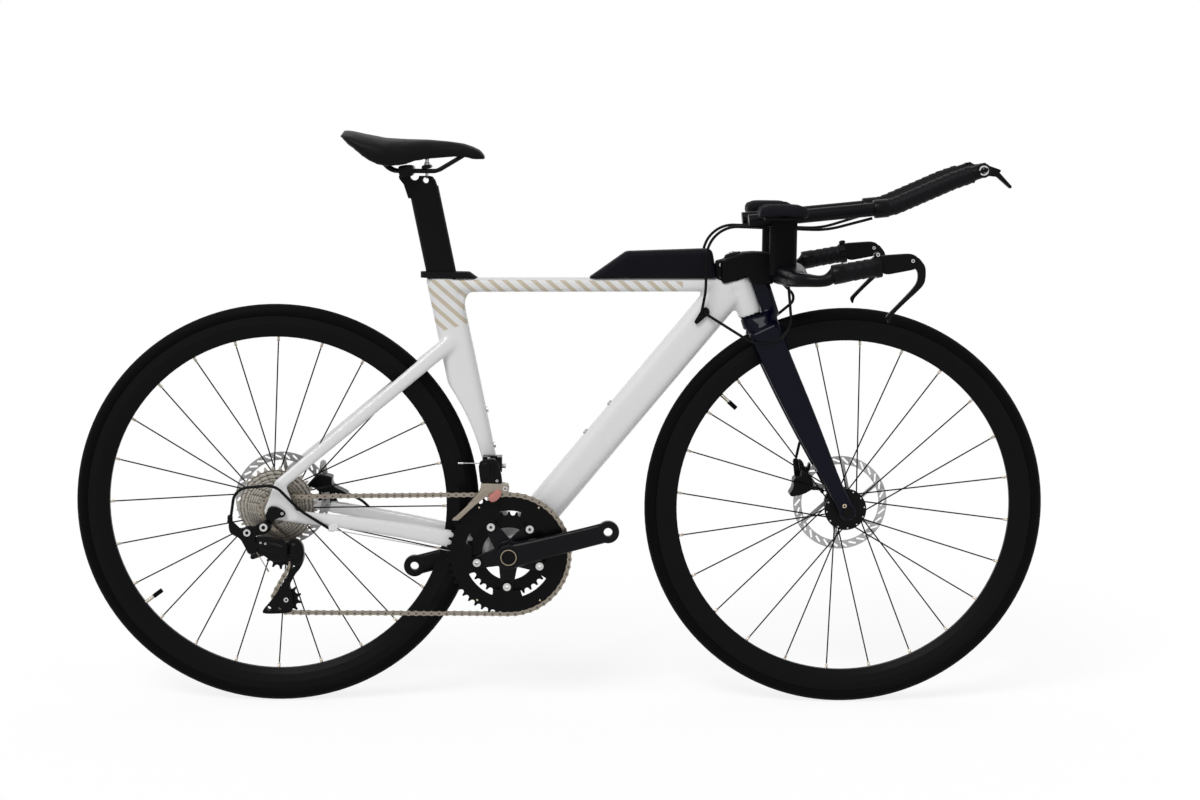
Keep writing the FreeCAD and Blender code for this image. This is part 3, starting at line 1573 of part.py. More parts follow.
riser_base = cockpit(n.riser_ahead, -n.riser_side, n.bar_above)
riser_top = cockpit(n.riser_ahead, -n.riser_side, n.riser_top_above)
riser = tube(
    [(riser_base, n.riser_depth, n.riser_width), (riser_top, n.riser_depth, n.riser_width)],
    UP,
    round_share=0.45,
)
right_riser = cut(riser, wing)
clamp_size = d.extension_radius * 2 + d.clamp_wall * 2
clamp = block(d.clamp_length, clamp_size, clamp_size, riser_top + UP * (float(clamp_size) / 2))
pad_spot = cockpit(n.pad_ahead, -n.pad_side, n.extension_above - n.pad_plate)
pad_plate = block(d.pad_plate_length, d.pad_plate_width, d.pad_plate, pad_spot + LEFT * n.pad_plate_inset)
extension_hole = swept(d.extension_radius, extension_spots, extension_bends)
right_bracket = cut(fused(clamp, pad_plate), extension_hole)
named("risers", both(grouped(right_riser, right_bracket)))


pad_shares = ((-0.5, 0.72), (-0.4, 0.94), (0, 1), (0.4, 0.94), (0.5, 0.72))


def pad_wire(scale):
    """A cupped pad section: flat base, full rims and a hollow top."""
    half = n.pad_width / 2 * scale
    top = n.pad_height * scale
    dip = top - n.pad_cup * scale
    inset_share = 0.88
    inner = half * inset_share
    low = Vector(0, -inner, 0)
    low_far = Vector(0, inner, 0)
    rim_far = Vector(0, inner, top)
    rim = Vector(0, -inner, top)
    edges = [
        Part.LineSegment(low, low_far).toShape(),
        Part.Arc(low_far, Vector(0, half, top / 2), rim_far).toShape(),
        Part.Arc(rim_far, Vector(0, 0, dip), rim).toShape(),
        Part.Arc(rim, Vector(0, -half, top / 2), low).toShape(),
    ]
    return Part.Wire(edges)


def arm_pad():
    sections = []
    for along, scale in pad_shares:
        section = shaped(pad_wire(scale))
        spot = pad_spot + AHEAD * (n.pad_length * along) + UP * (n.pad_plate / 2)
        section.Placement = Placement(spot, Rotation())
        sections.append(section)
    return lofted(sections)


named("arm_pads", both(arm_pad()))

# Brake levers at the grips and shift levers at the ends of the extensions.
lever_base = grip_end
hood_share = 0.72
body_end = lever_base + AHEAD * n.lever_body_length + UP * n.lever_body_rise
lever_body = tube(
    [
        (lever_base, n.grip_radius * 2, n.lever_body_width),
        (between(lever_base, body_end, hood_share), n.lever_body_height, n.lever_body_width),
        (body_end, n.lever_nose_height, n.lever_nose_width),
    ],
    AHEAD,
    round_share=0.3,
)
lever_pivot = lever_base + AHEAD * n.lever_pivot_ahead + UP * n.lever_pivot_above
slot_width = d.lever_width + d.post_gap * 2
slot_reach = d.lever_body_length
slot_start = lever_pivot - AHEAD * n.lever_slot_behind + AHEAD * (n.lever_body_length / 2)
lever_slot = block(slot_reach, slot_width, d.lever_body_length * 2, slot_start)
lever_pin = rod(d.lever_pin_radius, d.lever_pin_length, lever_pivot - LEFT * (n.lever_pin_length / 2), LEFT)
named("lever_bodies", both(fused(cut(lever_body, lever_slot, grip_outside), lever_pin)))


lever_shares = (
    (0.125, 0.1, 0.078),
    (0.16, 0.25, 0.064),
    (0.11, 0.45, 0.05),
    (-0.04, 0.65, 0.041),
    (-0.215, 0.825, 0.034),
    (-0.375, 0.985, 0.03),
)


def brake_lever():
    spots = [(lever_pivot, n.lever_eye)]
    for ahead, below, radius in lever_shares:
        spot = lever_pivot + (AHEAD * ahead - UP * below) * n.lever_tip_below
        spots.append((spot, n.lever_tip_below * radius))
    bars = []
    for (first, start), (last, end) in zip(spots, spots[1:]):
        circles = [(first.x, first.z, start), (last.x, last.z, end)]
        bars.append(belt(circles, d.lever_width, lever_pivot.y))
    hole_base = lever_pivot - LEFT * n.lever_width
    hole = rod(d.lever_pin_radius + d.running_gap, d.lever_width * 2, hole_base, LEFT)
    return cut(fused(*bars), hole)


right_lever = brake_lever()
named("brake_lever_right", right_lever)
named("brake_lever_left", mirrored(right_lever))
shift_heading = (extension_spots[3] - extension_spots[2]).normalize()
shift_base = extension_spots[3]
shift_pivot = shift_base + shift_heading * n.shifter_length
shift_body = rod(d.shifter_radius, d.shifter_body_length, shift_base, shift_heading)
shift_eye = rod(d.shifter_radius, d.shifter_width, shift_pivot - LEFT * (n.shifter_width / 2), LEFT)
shift_slot = block(
    d.shifter_length * 3,
    d.shifter_lever_width + d.post_gap * 2,
    d.shifter_length * 3,
    shift_pivot + AHEAD * (n.shifter_length * 3 / 2 - n.shifter_slot_behind),
)
pin_base = shift_pivot - LEFT * (n.shifter_pin_length / 2)
shift_pin = rod(d.lever_pin_radius, d.shifter_pin_length, pin_base, LEFT)
named("shifter_bodies", both(fused(cut(fused(shift_body, shift_eye), shift_slot), shift_pin)))


def shift_lever(raised):
    """A thumb lever from its pivot to its tip, raised by an angle from its low rest."""
    lift = Rotation(LEFT, -raised)
    knee = shift_pivot + lift.multVec(AHEAD * n.shifter_lever_reach - UP * n.shifter_lever_fall)
    tip = shift_pivot + lift.multVec(AHEAD * n.shifter_tip_reach - UP * n.shifter_tip_fall)
    spots = ((shift_pivot, n.shifter_eye), (knee, n.shifter_knee), (tip, n.shifter_tip))
    bars = []
    for (first, start), (last, end) in zip(spots, spots[1:]):
        circles = [(first.x, first.z, start), (last.x, last.z, end)]
        bars.append(belt(circles, d.shifter_lever_width, shift_pivot.y))
    hole_base = shift_pivot - LEFT * n.shifter_width
    hole = rod(d.lever_pin_radius + d.running_gap, d.shifter_width * 2, hole_base, LEFT)
    return cut(fused(*bars), hole)


named("shift_lever_right", shift_lever(0))
named("shift_lever_left", mirrored(shift_lever(n.shifter_left_raise)))


# Seatpost with its cover and clamp, saddle and rails, and the box on the top tube.
post_base = seat(n.seat_tube_length - n.post_insert)
post_length = d.post_insert + d.post_top - d.post_head_drop
post_body = post_prism(0, post_length, post_base)
post_head_spot = seat(n.seat_tube_length + n.post_top)
cover_base = seat_top + AHEAD * n.cover_ahead
cover_top = cover_base + UP * n.cover_height - AHEAD * ((n.cover_depth - n.cover_top_depth) / 2)
cover_blank = tube(
    [
        (cover_base, n.cover_depth, n.cover_width),
        (cover_top, n.cover_top_depth, n.cover_top_width),
    ],
    UP,
)
cover_room = post_prism(n.post_gap, d.post_insert * 2, post_base)
named("seat_cover", cut(cover_blank, cover_room, seat_tube_whole, top_tube))
hole_share = 0.133
hole_base = post_head_spot + AHEAD * (n.post_depth * hole_share) - LEFT * n.post_width
head_hole = rod(d.post_head_hole, d.post_width * 2, hole_base, LEFT)
rail_z = post_head_spot.z + n.rail_level
rail_mid = Vector(post_head_spot.x - n.rail_behind, 0, rail_z)
head_shares = (
    (-0.75, 0.037),
    (-0.6, -0.153),
    (-0.53, -0.37),
    (-0.449, -0.61),
    (0.612, -0.61),
    (0.557, -0.325),
    (0.44, 0.008),
    (0.345, 0.122),
)
head_top_shares = (0.245, -0.77)
head_level = rail_z - n.cradle_height - n.running_gap
head_spots = []
for ahead, above in head_shares:
    spot = post_head_spot + (AHEAD * ahead + UP * above) * n.post_depth
    head_spots.append(spot)
for ahead in head_top_shares:
    head_spots.append(Vector(post_head_spot.x + n.post_depth * ahead, 0, head_level))
post_head = plate(Part.makePolygon(head_spots + head_spots[:1]), d.post_head_width, 0)
notch_base = rail_mid - UP * n.cradle_height - LEFT * n.post_width
head_notch = rod(d.post_notch, d.post_width * 2, notch_base, LEFT)
named("seatpost", cut(fused(post_body, post_head), head_hole, head_notch))


def rail():
    level_back = rail_mid - AHEAD * (n.rail_length / 2) - LEFT * n.rail_side
    level_front = rail_mid + AHEAD * (n.rail_length / 2) - LEFT * n.rail_side
    back = level_back - AHEAD * n.rail_back + UP * n.rail_back_rise - LEFT * (n.rail_side / 2)
    front = level_front + AHEAD * n.rail_front + UP * n.rail_front_rise + LEFT * (n.rail_side / 2)
    return swept(d.rail_radius, [back, level_back, level_front, front], [n.rail_bend, n.rail_bend])


right_rail = rail()
named("saddle_rails", both(right_rail))
cradle_low = block(d.cradle_length, d.cradle_width, d.cradle_height, rail_mid - UP * (n.cradle_height / 2))
cradle_lift = n.cradle_height / 2 + n.running_gap
cradle_top = block(d.cradle_length, d.cradle_width, d.cradle_height, rail_mid + UP * cradle_lift)
rails_room = fused(right_rail, mirrored(right_rail))
bolt_span = d.cradle_height * 2 + d.running_gap
bolts = []
bolt_rooms = []
for ahead in (-1, 1):
    spot = rail_mid + AHEAD * (ahead * (n.cradle_length / 2 - n.clamp_bolt_inset))
    low = spot - UP * n.cradle_height
    shank = rod(d.clamp_bolt_radius, bolt_span, low, UP)
    rise = d.clamp_bolt_rise if ahead > 0 else d.cradle_height / 2
    head = rod(d.clamp_bolt_head, rise, low + UP * float(bolt_span), UP)
    bolts.append(fused(shank, head))
    bolt_rooms.append(rod(d.clamp_bolt_radius, bolt_span, low, UP))
cradle = cut(grouped(cradle_low, cradle_top), rails_room, *bolt_rooms)
named("saddle_clamp", grouped(cradle, *bolts))

saddle_shares = (
    (0, 0.5, 0.15, 0.12),
    (0.03, 0.74, 0, 0.39),
    (0.083, 0.88, 0.056, 0.62),
    (0.183, 0.98, 0.184, 0.84),
    (0.3, 1, 0.29, 0.97),
    (0.44, 0.8, 0.328, 0.786),
    (0.56, 0.58, 0.34, 0.526),
    (0.7, 0.43, 0.38, 0.46),
    (0.86, 0.36, 0.463, 0.44),
    (0.95, 0.3, 0.626, 0.36),
    (1, 0.16, 0.93, 0.11),
)


def saddle_wire(half, deep):
    """A saddle section: crowned top, drooping sides and a hollow underside."""
    crown_share = 0.12
    crown_limit_share = 0.3
    shoulder_share = 0.82
    tuck_share = 0.86
    bulge_share = 0.4
    belly_share = 0.52
    crown = min(half * crown_share, deep * crown_limit_share)
    shoulder = half * shoulder_share
    tuck = half * tuck_share
    edge = crown + (deep - crown) * bulge_share
    belly = Vector(0, 0, -deep * belly_share)
    edges = [
        Part.Arc(Vector(0, -shoulder, -crown), Vector(0, 0, 0), Vector(0, shoulder, -crown)).toShape(),
        Part.Arc(Vector(0, shoulder, -crown), Vector(0, half, -edge), Vector(0, tuck, -deep)).toShape(),
        Part.Arc(Vector(0, tuck, -deep), belly, Vector(0, -tuck, -deep)).toShape(),
        Part.Arc(Vector(0, -tuck, -deep), Vector(0, -half, -edge), Vector(0, -shoulder, -crown)).toShape(),
    ]
    return Part.Wire(edges)


def saddle():
    tail = Vector(rail_mid.x - n.saddle_tail, 0, rail_z + n.saddle_above)
    sections = []
    for along, wide, fall, deep in saddle_shares:
        section = shaped(saddle_wire(n.saddle_tail_width / 2 * wide, n.saddle_thickness * deep))
        spot = tail + AHEAD * (n.saddle_length * along) - UP * (n.saddle_nose_drop * fall)
        section.Placement = Placement(spot, Rotation())
        sections.append(section)
    return lofted(sections)


named("saddle", cut(saddle(), right_rail, mirrored(right_rail)))


def storage_box():
    length = n.box_length
    corners = (
        (0, 0),
        (n.box_ramp, n.box_height - n.box_front_slope / 2),
        (length - n.box_front_slope, n.box_height),
        (length, 0),
    )
    half = n.box_width / 2
    spots = [Vector(x, -half, z) for x, z in corners]
    wire = Part.makePolygon(spots + spots[:1])
    solid = Part.Face(wire).extrude(LEFT * n.box_width)
    edges = [e for e in solid.Edges if e.BoundBox.ZMax > n.running_gap]
    return shaped(solid.makeFillet(n.box_round, edges))


box = storage_box()
top_heading = (top_front - top_rear).normalize()
top_normal = top_heading.cross(LEFT)
box_end = head_top.x - n.box_behind
box_start_share = (box_end - n.box_length - top_rear.x) / (top_front.x - top_rear.x)
box_spot = between(top_rear, top_front, box_start_share) + top_normal * (n.top_tube_depth / 2)
box.Placement = Placement(box_spot, Rotation(top_heading, LEFT, top_normal, "XYZ"))
named("storage_box", box)


# Rear derailleur: hanger, knuckle, slanted parallelogram, cage knuckle and pulley cage.
hanger_eye = rear_hub - AHEAD * n.hanger_back - UP * n.hanger_drop
hanger_side = -n.dropout_inner - n.dropout_thickness - n.hanger_thickness / 2
hanger_circles = [
    (rear_hub.x, rear_hub.z, n.hanger_radius),
    (hanger_eye.x, hanger_eye.z, n.hanger_eye),
]
hanger = belt(hanger_circles, d.hanger_thickness, hanger_side)
hanger_base = rear_hub + LEFT * (hanger_side - n.hanger_thickness)
hanger_hole = rod(d.axle_head_radius, d.hanger_thickness * 2, hanger_base, LEFT)
named("derailleur_hanger", cut(hanger, hanger_hole))
slant = math.radians(n.mech_slant)
mech_axis = Vector(0, math.sin(slant), math.cos(slant))
mech_down = Vector(0, math.cos(slant), -math.sin(slant))
mech_turn = Rotation(AHEAD, mech_axis, -mech_down, "XYZ")
mech_base = rear_hub - AHEAD * n.mech_base_back - UP * n.mech_base_below - LEFT * n.mech_base_side
mech_place = Placement(mech_base, mech_turn)
half_swing = math.radians(n.mech_swing / 2)
link_x = n.mech_link * math.cos(half_swing)
link_z = n.mech_link * math.sin(half_swing)
half_gap = n.mech_link_gap / 2


def mech_point(x, along, z):
    """A point of the linkage in the shared frame, from its own slanted frame."""
    return mech_place.multVec(Vector(x, along, z))


def link_bar(z, radius, height):
    return belt([(0, z, radius), (link_x, z + link_z, radius)], height, 0)


def mech_link(z):
    """One link of the parallelogram between its two pins."""
    holes = []
    for x, lift in ((0, 0), (link_x, link_z)):
        low = Vector(x, -n.mech_link_height, z + lift)
        holes.append(rod(d.mech_pin_radius + d.running_gap, d.mech_link_height * 2, low, LEFT))
    obj = cut(link_bar(z, n.mech_link_radius, d.mech_link_height), *holes)
    obj.Placement = mech_place
    return obj


def mech_lug(x, z):
    """A lug plate with two pins that carry one end of both links."""
    circles = [(x, z - half_gap, n.mech_lug_radius), (x, z + half_gap, n.mech_lug_radius)]
    side = -n.mech_link_height / 2 - n.running_gap * 4 - n.mech_lug / 2
    lug = belt(circles, d.mech_lug, side)
    pins = []
    for _, spot, _ in circles:
        base = Vector(x, side, spot)
        pins.append(rod(d.mech_pin_radius, d.mech_link_height + d.mech_lug, base, LEFT))
    obj = fused(lug, *pins)
    obj.Placement = mech_place
    return obj


def link_room():
    """The layer that the links sweep, kept clear of the lugs' necks."""
    span = d.mech_link * 4
    floor = -n.mech_link_height / 2 - n.running_gap * 4
    centre = mech_point(0, floor + n.mech_link, 0)
    return block(span, d.mech_link * 2, span, centre, mech_turn)


named("mech_outer_link", mech_link(half_gap))
named("mech_inner_link", mech_link(-half_gap))
lug_depth = -n.mech_link_height / 2 - n.mech_lug / 2
plate_side = -n.mech_plate_inner - n.mech_plate / 2
rear_bolt = rear_hub - AHEAD * n.mech_bolt_back - UP * n.mech_bolt_below
low_spot = Vector(mech_base.x, 0, mech_base.z - n.mech_lug)
knuckle_circles = [
    (hanger_eye.x, hanger_eye.z, n.mech_eye_radius),
    (rear_bolt.x, rear_bolt.z, n.mech_eye_radius),
    (low_spot.x, low_spot.z, n.mech_eye_radius),
]
clear_height = d.mech_link_height + d.mech_link_room * 2
link_clear = link_bar(half_gap, n.mech_link_radius + n.mech_link_room, clear_height)
link_clear.Placement = mech_place.multiply(link_clear.Placement)
knuckle_plate = cut(belt(knuckle_circles, d.mech_plate, plate_side), link_clear)
neck_start = Vector(low_spot.x, plate_side, low_spot.z)
neck_end = mech_point(0, lug_depth, 0)
knuckle_neck = rod(d.mech_lug_radius, d.mech_neck, neck_start, neck_end - neck_start)
named("mech_knuckle", fused(knuckle_plate, cut(knuckle_neck, link_room()), mech_lug(0, 0)))
cage_pivot = guide + AHEAD * n.mech_pivot_ahead + UP * n.mech_pivot_above
outer_face = n.cog_line + n.cage_half + n.cage_plate
barrel_start = cage_pivot - LEFT * (outer_face + n.post_gap)
barrel_length = d.mech_knuckle_end - d.cog_line - d.cage_half - d.cage_plate - d.post_gap
barrel = rod(d.mech_knuckle_radius, barrel_length, barrel_start, -LEFT)
pivot_pin = rod(d.mech_pivot_radius, d.cage_plate * 2, barrel_start - LEFT * n.cage_plate, LEFT)
far_lug = mech_point(link_x, lug_depth, link_z)
arm_start = Vector(cage_pivot.x, far_lug.y, cage_pivot.z)
knuckle_arm = rod(d.mech_lug_radius, d.mech_link_gap * 2, arm_start, far_lug - arm_start)
knuckle_arm = cut(knuckle_arm, link_room())
named("mech_cage_knuckle", fused(barrel, pivot_pin, knuckle_arm, mech_lug(link_x, link_z)))


def cage():
    """Two plates that hold both pulleys on their bolts."""
    outer_circles = [
        (guide.x, guide.z, n.cage_eye),
        (tension.x, tension.z, n.cage_eye),
        (cage_pivot.x, cage_pivot.z, n.mech_knuckle_radius),
    ]
    inner_circles = outer_circles[:2]
    offset = n.cage_half + n.cage_plate / 2
    outer = belt(outer_circles, d.cage_plate, -n.cog_line - offset)
    inner = belt(inner_circles, d.cage_plate, -n.cog_line + offset)
    bolts = []
    for spot in (guide, tension):
        base = spot - LEFT * (n.cog_line + n.cage_half + n.cage_plate)
        bolts.append(rod(d.pulley_axle_radius, (d.cage_half + d.cage_plate) * 2, base, LEFT))
    hole_base = cage_pivot - LEFT * (n.cog_line + n.cage_half + n.cage_plate * 2)
    hole = rod(d.mech_pivot_radius + d.running_gap, d.cage_plate * 3, hole_base, LEFT)
    return cut(fused(outer, inner, *bolts), hole)


named("mech_cage", cage())

# Front derailleur: a body on the seat tube and a cage that swings over the rings.
cage_line = -n.ring_line - n.front_mech_plate
swing_side = cage_line + n.front_mech_half * 2
front_mech_far = n.front_mech_near + n.front_mech_height
swing_spot = polar(bracket, front_mech_far, n.front_mech_angle, swing_side) + UP * n.front_mech_pivot


def cage_wire():
    """A curved plate outline that follows the outer ring from nose to tail."""
    angles = (n.front_mech_nose, (n.front_mech_nose + n.front_mech_tail) / 2, n.front_mech_tail)
    high = [polar(bracket, front_mech_far, angle) for angle in angles]
    low = [polar(bracket, n.front_mech_near, angle) for angle in reversed(angles)]
    edges = [
        Part.Arc(*high).toShape(),
        Part.LineSegment(high[2], low[0]).toShape(),
        Part.Arc(*low).toShape(),
        Part.LineSegment(low[2], high[0]).toShape(),
    ]
    return Part.Wire(edges)


cage_offset = n.front_mech_half + n.front_mech_plate / 2
outer_plate = plate(cage_wire(), d.front_mech_plate, cage_line - cage_offset)
inner_plate = plate(cage_wire(), d.front_mech_plate, cage_line + cage_offset)
bridge_spot = polar(bracket, front_mech_far - n.front_mech_plate, n.front_mech_angle, cage_line)
bridge_width = d.front_mech_half * 2 + d.front_mech_plate * 2
bridge = block(d.front_mech_height, bridge_width, d.front_mech_plate * 2, bridge_spot)
arm_side = cage_line + cage_offset
arm_spot = Vector(swing_spot.x, arm_side, (swing_spot.z + bridge_spot.z) / 2)
arm_length = d.front_mech_pivot + d.front_mech_plate * 2
swing_arm = block(d.front_mech_height, d.front_mech_plate * 2, arm_length, arm_spot)
eye_base = swing_spot - AHEAD * (n.front_mech_height / 2)
swing_eye = rod(d.front_mech_half, d.front_mech_height, eye_base, AHEAD)
swing_hole = rod(d.front_mech_pin_radius + d.running_gap, d.front_mech_height, eye_base, AHEAD)
front_cage = fused(outer_plate, inner_plate, bridge, swing_arm, swing_eye)
named("front_mech_cage", cut(front_cage, swing_hole))


# The front derailleur's body on the seat tube.
body_half = n.front_mech_body_depth / 2
body_spot = swing_spot + LEFT * n.front_mech_body_inset
mech_body = block(d.front_mech_body_depth, d.front_mech_body_width, d.front_mech_body_height, body_spot)
ear_slot = block(
    d.front_mech_height + d.post_gap * 2,
    d.front_mech_slot_width,
    d.front_mech_body_height * 2,
    swing_spot - LEFT * n.front_mech_slot_out,
)
swing_pin = rod(d.front_mech_pin_radius, d.front_mech_body_depth, swing_spot - AHEAD * body_half, AHEAD)
named("front_mech_body", fused(cut(mech_body, ear_slot, seat_tube_whole), swing_pin))


# Disc calipers, cable pulled, each with its arm on the outer face.
def caliper(spot, disc_side, hub, foot_spot, foot_size, support):
    """A rounded block slotted for the disc, with a foot cut to its support."""
    near = Vector(spot.x, disc_side - n.caliper_half, spot.z)
    far = Vector(spot.x, disc_side + n.caliper_half, spot.z)
    stations = [(near, n.caliper_length, n.caliper_height), (far, n.caliper_length, n.caliper_height)]
    round_share = 0.3
    body = tube(stations, LEFT, AHEAD, round_share)
    foot = block(*foot_size, foot_spot)
    slot_base = hub + LEFT * (disc_side - n.caliper_slot)
    slot = rod(d.rotor_radius + d.caliper_slot, d.caliper_slot * 2, slot_base, LEFT)
    pin_base = Vector(spot.x, disc_side + n.caliper_half - n.caliper_pin_radius, spot.z)
    pin_length = d.caliper_pin_radius + d.caliper_arm_thickness + d.caliper_arm_gap * 2
    pin = rod(d.caliper_pin_radius, pin_length, pin_base, LEFT)
    cap_base = pin_base + LEFT * float(pin_length)
    cap = rod(d.caliper_pin_radius * 2, d.caliper_arm_gap * 4, cap_base, LEFT)
    return fused(cut(fused(body, foot), slot, support), pin, cap)


def caliper_arm(spot, disc_side, tip):
    side = disc_side + n.caliper_half + n.caliper_arm_gap + n.caliper_arm_thickness / 2
    circles = [(spot.x, spot.z, n.caliper_arm_eye), (tip.x, tip.z, n.caliper_arm_tip)]
    arm = belt(circles, d.caliper_arm_thickness, side)
    base = Vector(spot.x, side - n.caliper_arm_thickness, spot.z)
    return cut(arm, rod(d.caliper_pin_radius + d.running_gap, d.caliper_arm_thickness * 2, base, LEFT))


rear_spot = rear_hub + AHEAD * n.caliper_ahead + UP * n.caliper_above
rear_foot = rear_spot - UP * n.caliper_foot + LEFT * (n.rear_rotor_side + n.caliper_half / 2)
rear_foot_size = (d.caliper_foot_length, d.caliper_foot_width, d.caliper_foot)
rear_support = mirrored(right_stays[0])
rear_body = caliper(rear_spot, n.rear_rotor_side, rear_hub, rear_foot, rear_foot_size, rear_support)
named("rear_caliper", rear_body)
rear_tip = rear_spot + UP * n.caliper_arm_reach
named("rear_caliper_arm", caliper_arm(rear_spot, n.rear_rotor_side, rear_tip))
front_spot = front_hub - AHEAD * n.front_caliper_behind + UP * n.front_caliper_above
front_foot = front_spot + AHEAD * n.caliper_foot + LEFT * (n.front_rotor_side + n.caliper_foot_width)
front_foot_size = (d.caliper_foot, d.front_foot_width, d.front_foot_height)
front_support = mirrored(right_leg)
front_body = caliper(front_spot, n.front_rotor_side, front_hub, front_foot, front_foot_size, front_support)
named("front_caliper", front_body)
front_tip = front_spot + UP * n.caliper_arm_reach - AHEAD * (n.caliper_arm_reach / 4)
named("front_caliper_arm", caliper_arm(front_spot, n.front_rotor_side, front_tip))


# Cables and the ports they enter by.
shift_route_shares = (
    (2.123, -0.6, 1.03),
    (1.4, -0.41, 0.82),
    (-0.56, -0.41, 0.88),
    (-0.57, -0.38, -0.2),
    (-0.62, -0.23, -0.55),
)
shift_bends_shares = (1.2, 0.5, 0.45)
brake_route_shares = (
    (0.8, -0.34, -0.09),
    (0.88, -0.46, -1.04),
    (0.2, -0.5, -1.04),
    (-0.58, -0.23, -0.57),
)
brake_bends_shares = (0.42, 0.45)
fork_route_shares = ((0.72, 0.08, -0.06), (1, 0.08, -0.34), (0.64, 0.08, -0.64))
fork_bends_shares = (0.14,)
mech_route_shares = (
    (0.92, -0.66, -0.31),
    (0.45, -0.86, 0.04),
    (0.05, -0.9, 0.46),
    (-0.6, -0.9, 0.4),
    (-0.68, -0.88, -0.14),
    (-0.49, -0.86, -0.33),
)
mech_bends_shares = (0.6, 0.3, 0.26, 0.12)
rear_brake_route_shares = ((1.73, 0.5, -0.4), (1.35, 0.56, -0.04), (0.88, 0.62, 0.18))
rear_brake_bends_shares = (0.4,)
fork_low_route_shares = ((-0.62, 0.44, 1.28), (-0.7, 0.52, 0.98), (-0.74, 0.58, 0.744))
fork_low_bends_shares = (0.3,)
wire_start_share = (0.92, -0.66, -0.31)
wire_end_share = (-0.47, -0.24, -0.08)
tail_ends_shares = ((-0.101, 0.055, 0.002), (-0.541, 0.055, 0.002))


def reached(origin, share):
    """A point at a share of the cables' reach from an anchor."""
    return origin + Vector(*share) * n.cable_reach


def housing(origin, shares, bend_shares):
    """A cable housing led through its points with rounded bends."""
    spots = [reached(origin, share) for share in shares]
    return swept(d.housing_radius, spots, [n.cable_reach * share for share in bend_shares])


def bare_wire(start, end):
    return shaped(Part.makeCylinder(n.wire_radius, (end - start).Length, start, end - start))


cockpit_base = cockpit(0, 0, 0)
shift_cable = housing(cockpit_base, shift_route_shares, shift_bends_shares)
brake_cable = housing(cockpit_base, brake_route_shares, brake_bends_shares)
named("control_cables", grouped(shift_cable, mirrored(shift_cable), brake_cable))
fork_cable = housing(cockpit_base, fork_route_shares, fork_bends_shares)
fork_low_cable = housing(front_hub, fork_low_route_shares, fork_low_bends_shares)
named("front_brake_cable", grouped(fork_cable, fork_low_cable))
mech_cable = housing(rear_hub, mech_route_shares, mech_bends_shares)
rear_brake_cable = housing(rear_hub, rear_brake_route_shares, rear_brake_bends_shares)
low_wire = bare_wire(reached(rear_hub, wire_start_share), reached(bracket, wire_end_share))
tail_ends = [reached(swing_spot, share) for share in tail_ends_shares]
wire_tail = bare_wire(*tail_ends)
named("rear_cables", grouped(mech_cable, rear_brake_cable, low_wire, wire_tail))
port_spot = cockpit(-n.port_behind, -n.port_side, -n.port_below)
port_low = port_spot - down_heading * n.port_length
port_circles = [(port_spot.x, port_spot.z, n.port_radius), (port_low.x, port_low.z, n.port_radius / 2)]
port = cut(belt(port_circles, d.port_thickness, -n.port_side), down_tube, top_tube)
named("cable_ports", both(port))


doc.recompute()
os.makedirs("parts", exist_ok=True)
for obj in doc.Objects:
    if "Invalid" in obj.State or "Error" in obj.State:
        raise RuntimeError(f"{obj.Label} does not build")
for piece in pieces:
    if piece.Shape.isNull() or not piece.Shape.isValid():
        raise RuntimeError(f"{piece.Label} has no sound shape")
    piece.Shape.exportStep(f"parts/{piece.Label}.step")
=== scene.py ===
import json
import math

import bpy
from mathutils import Matrix, Vector


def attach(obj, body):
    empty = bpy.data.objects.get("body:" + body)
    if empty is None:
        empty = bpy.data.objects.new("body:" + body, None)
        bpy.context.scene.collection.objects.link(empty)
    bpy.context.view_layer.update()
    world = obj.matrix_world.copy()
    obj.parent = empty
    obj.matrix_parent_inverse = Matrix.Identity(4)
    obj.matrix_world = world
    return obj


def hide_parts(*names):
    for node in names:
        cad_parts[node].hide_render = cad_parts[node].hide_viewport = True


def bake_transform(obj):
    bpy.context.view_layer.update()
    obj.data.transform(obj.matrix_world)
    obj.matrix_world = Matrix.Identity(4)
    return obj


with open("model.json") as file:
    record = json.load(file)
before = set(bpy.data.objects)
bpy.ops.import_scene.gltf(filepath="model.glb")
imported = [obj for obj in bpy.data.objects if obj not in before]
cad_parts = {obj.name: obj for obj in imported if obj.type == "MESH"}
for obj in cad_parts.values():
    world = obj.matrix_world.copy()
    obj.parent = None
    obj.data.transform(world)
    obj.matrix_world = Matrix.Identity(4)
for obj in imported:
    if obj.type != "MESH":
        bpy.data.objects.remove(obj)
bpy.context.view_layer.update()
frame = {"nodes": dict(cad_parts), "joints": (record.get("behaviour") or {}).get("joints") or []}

bl_info = {
    "name": "Time trial bike",
    "version": (1, 0, 0),
    "blender": (4, 5, 0),
    "location": "View3D > Sidebar > Bike",
    "description": "Dresses the bike's solids with paint, padding, wraps and small fittings",
    "category": "Object",
}

NODES = frame["nodes"]
JOINTS = {joint["name"]: joint for joint in frame["joints"]}
MM = 0.001
FULL_TURN = 2 * math.pi
RIGHT = Vector((0, -1, 0))
LEFT = Vector((0, 1, 0))
AHEAD = Vector((1, 0, 0))
UP = Vector((0, 0, 1))


def pivot(name):
    """Where a joint turns."""
    return Vector(JOINTS[name]["pos_m"])


def offset(x, y, z):
    """A step in the bike's frame, given in millimetres."""
    return Vector((x, y, z)) * MM


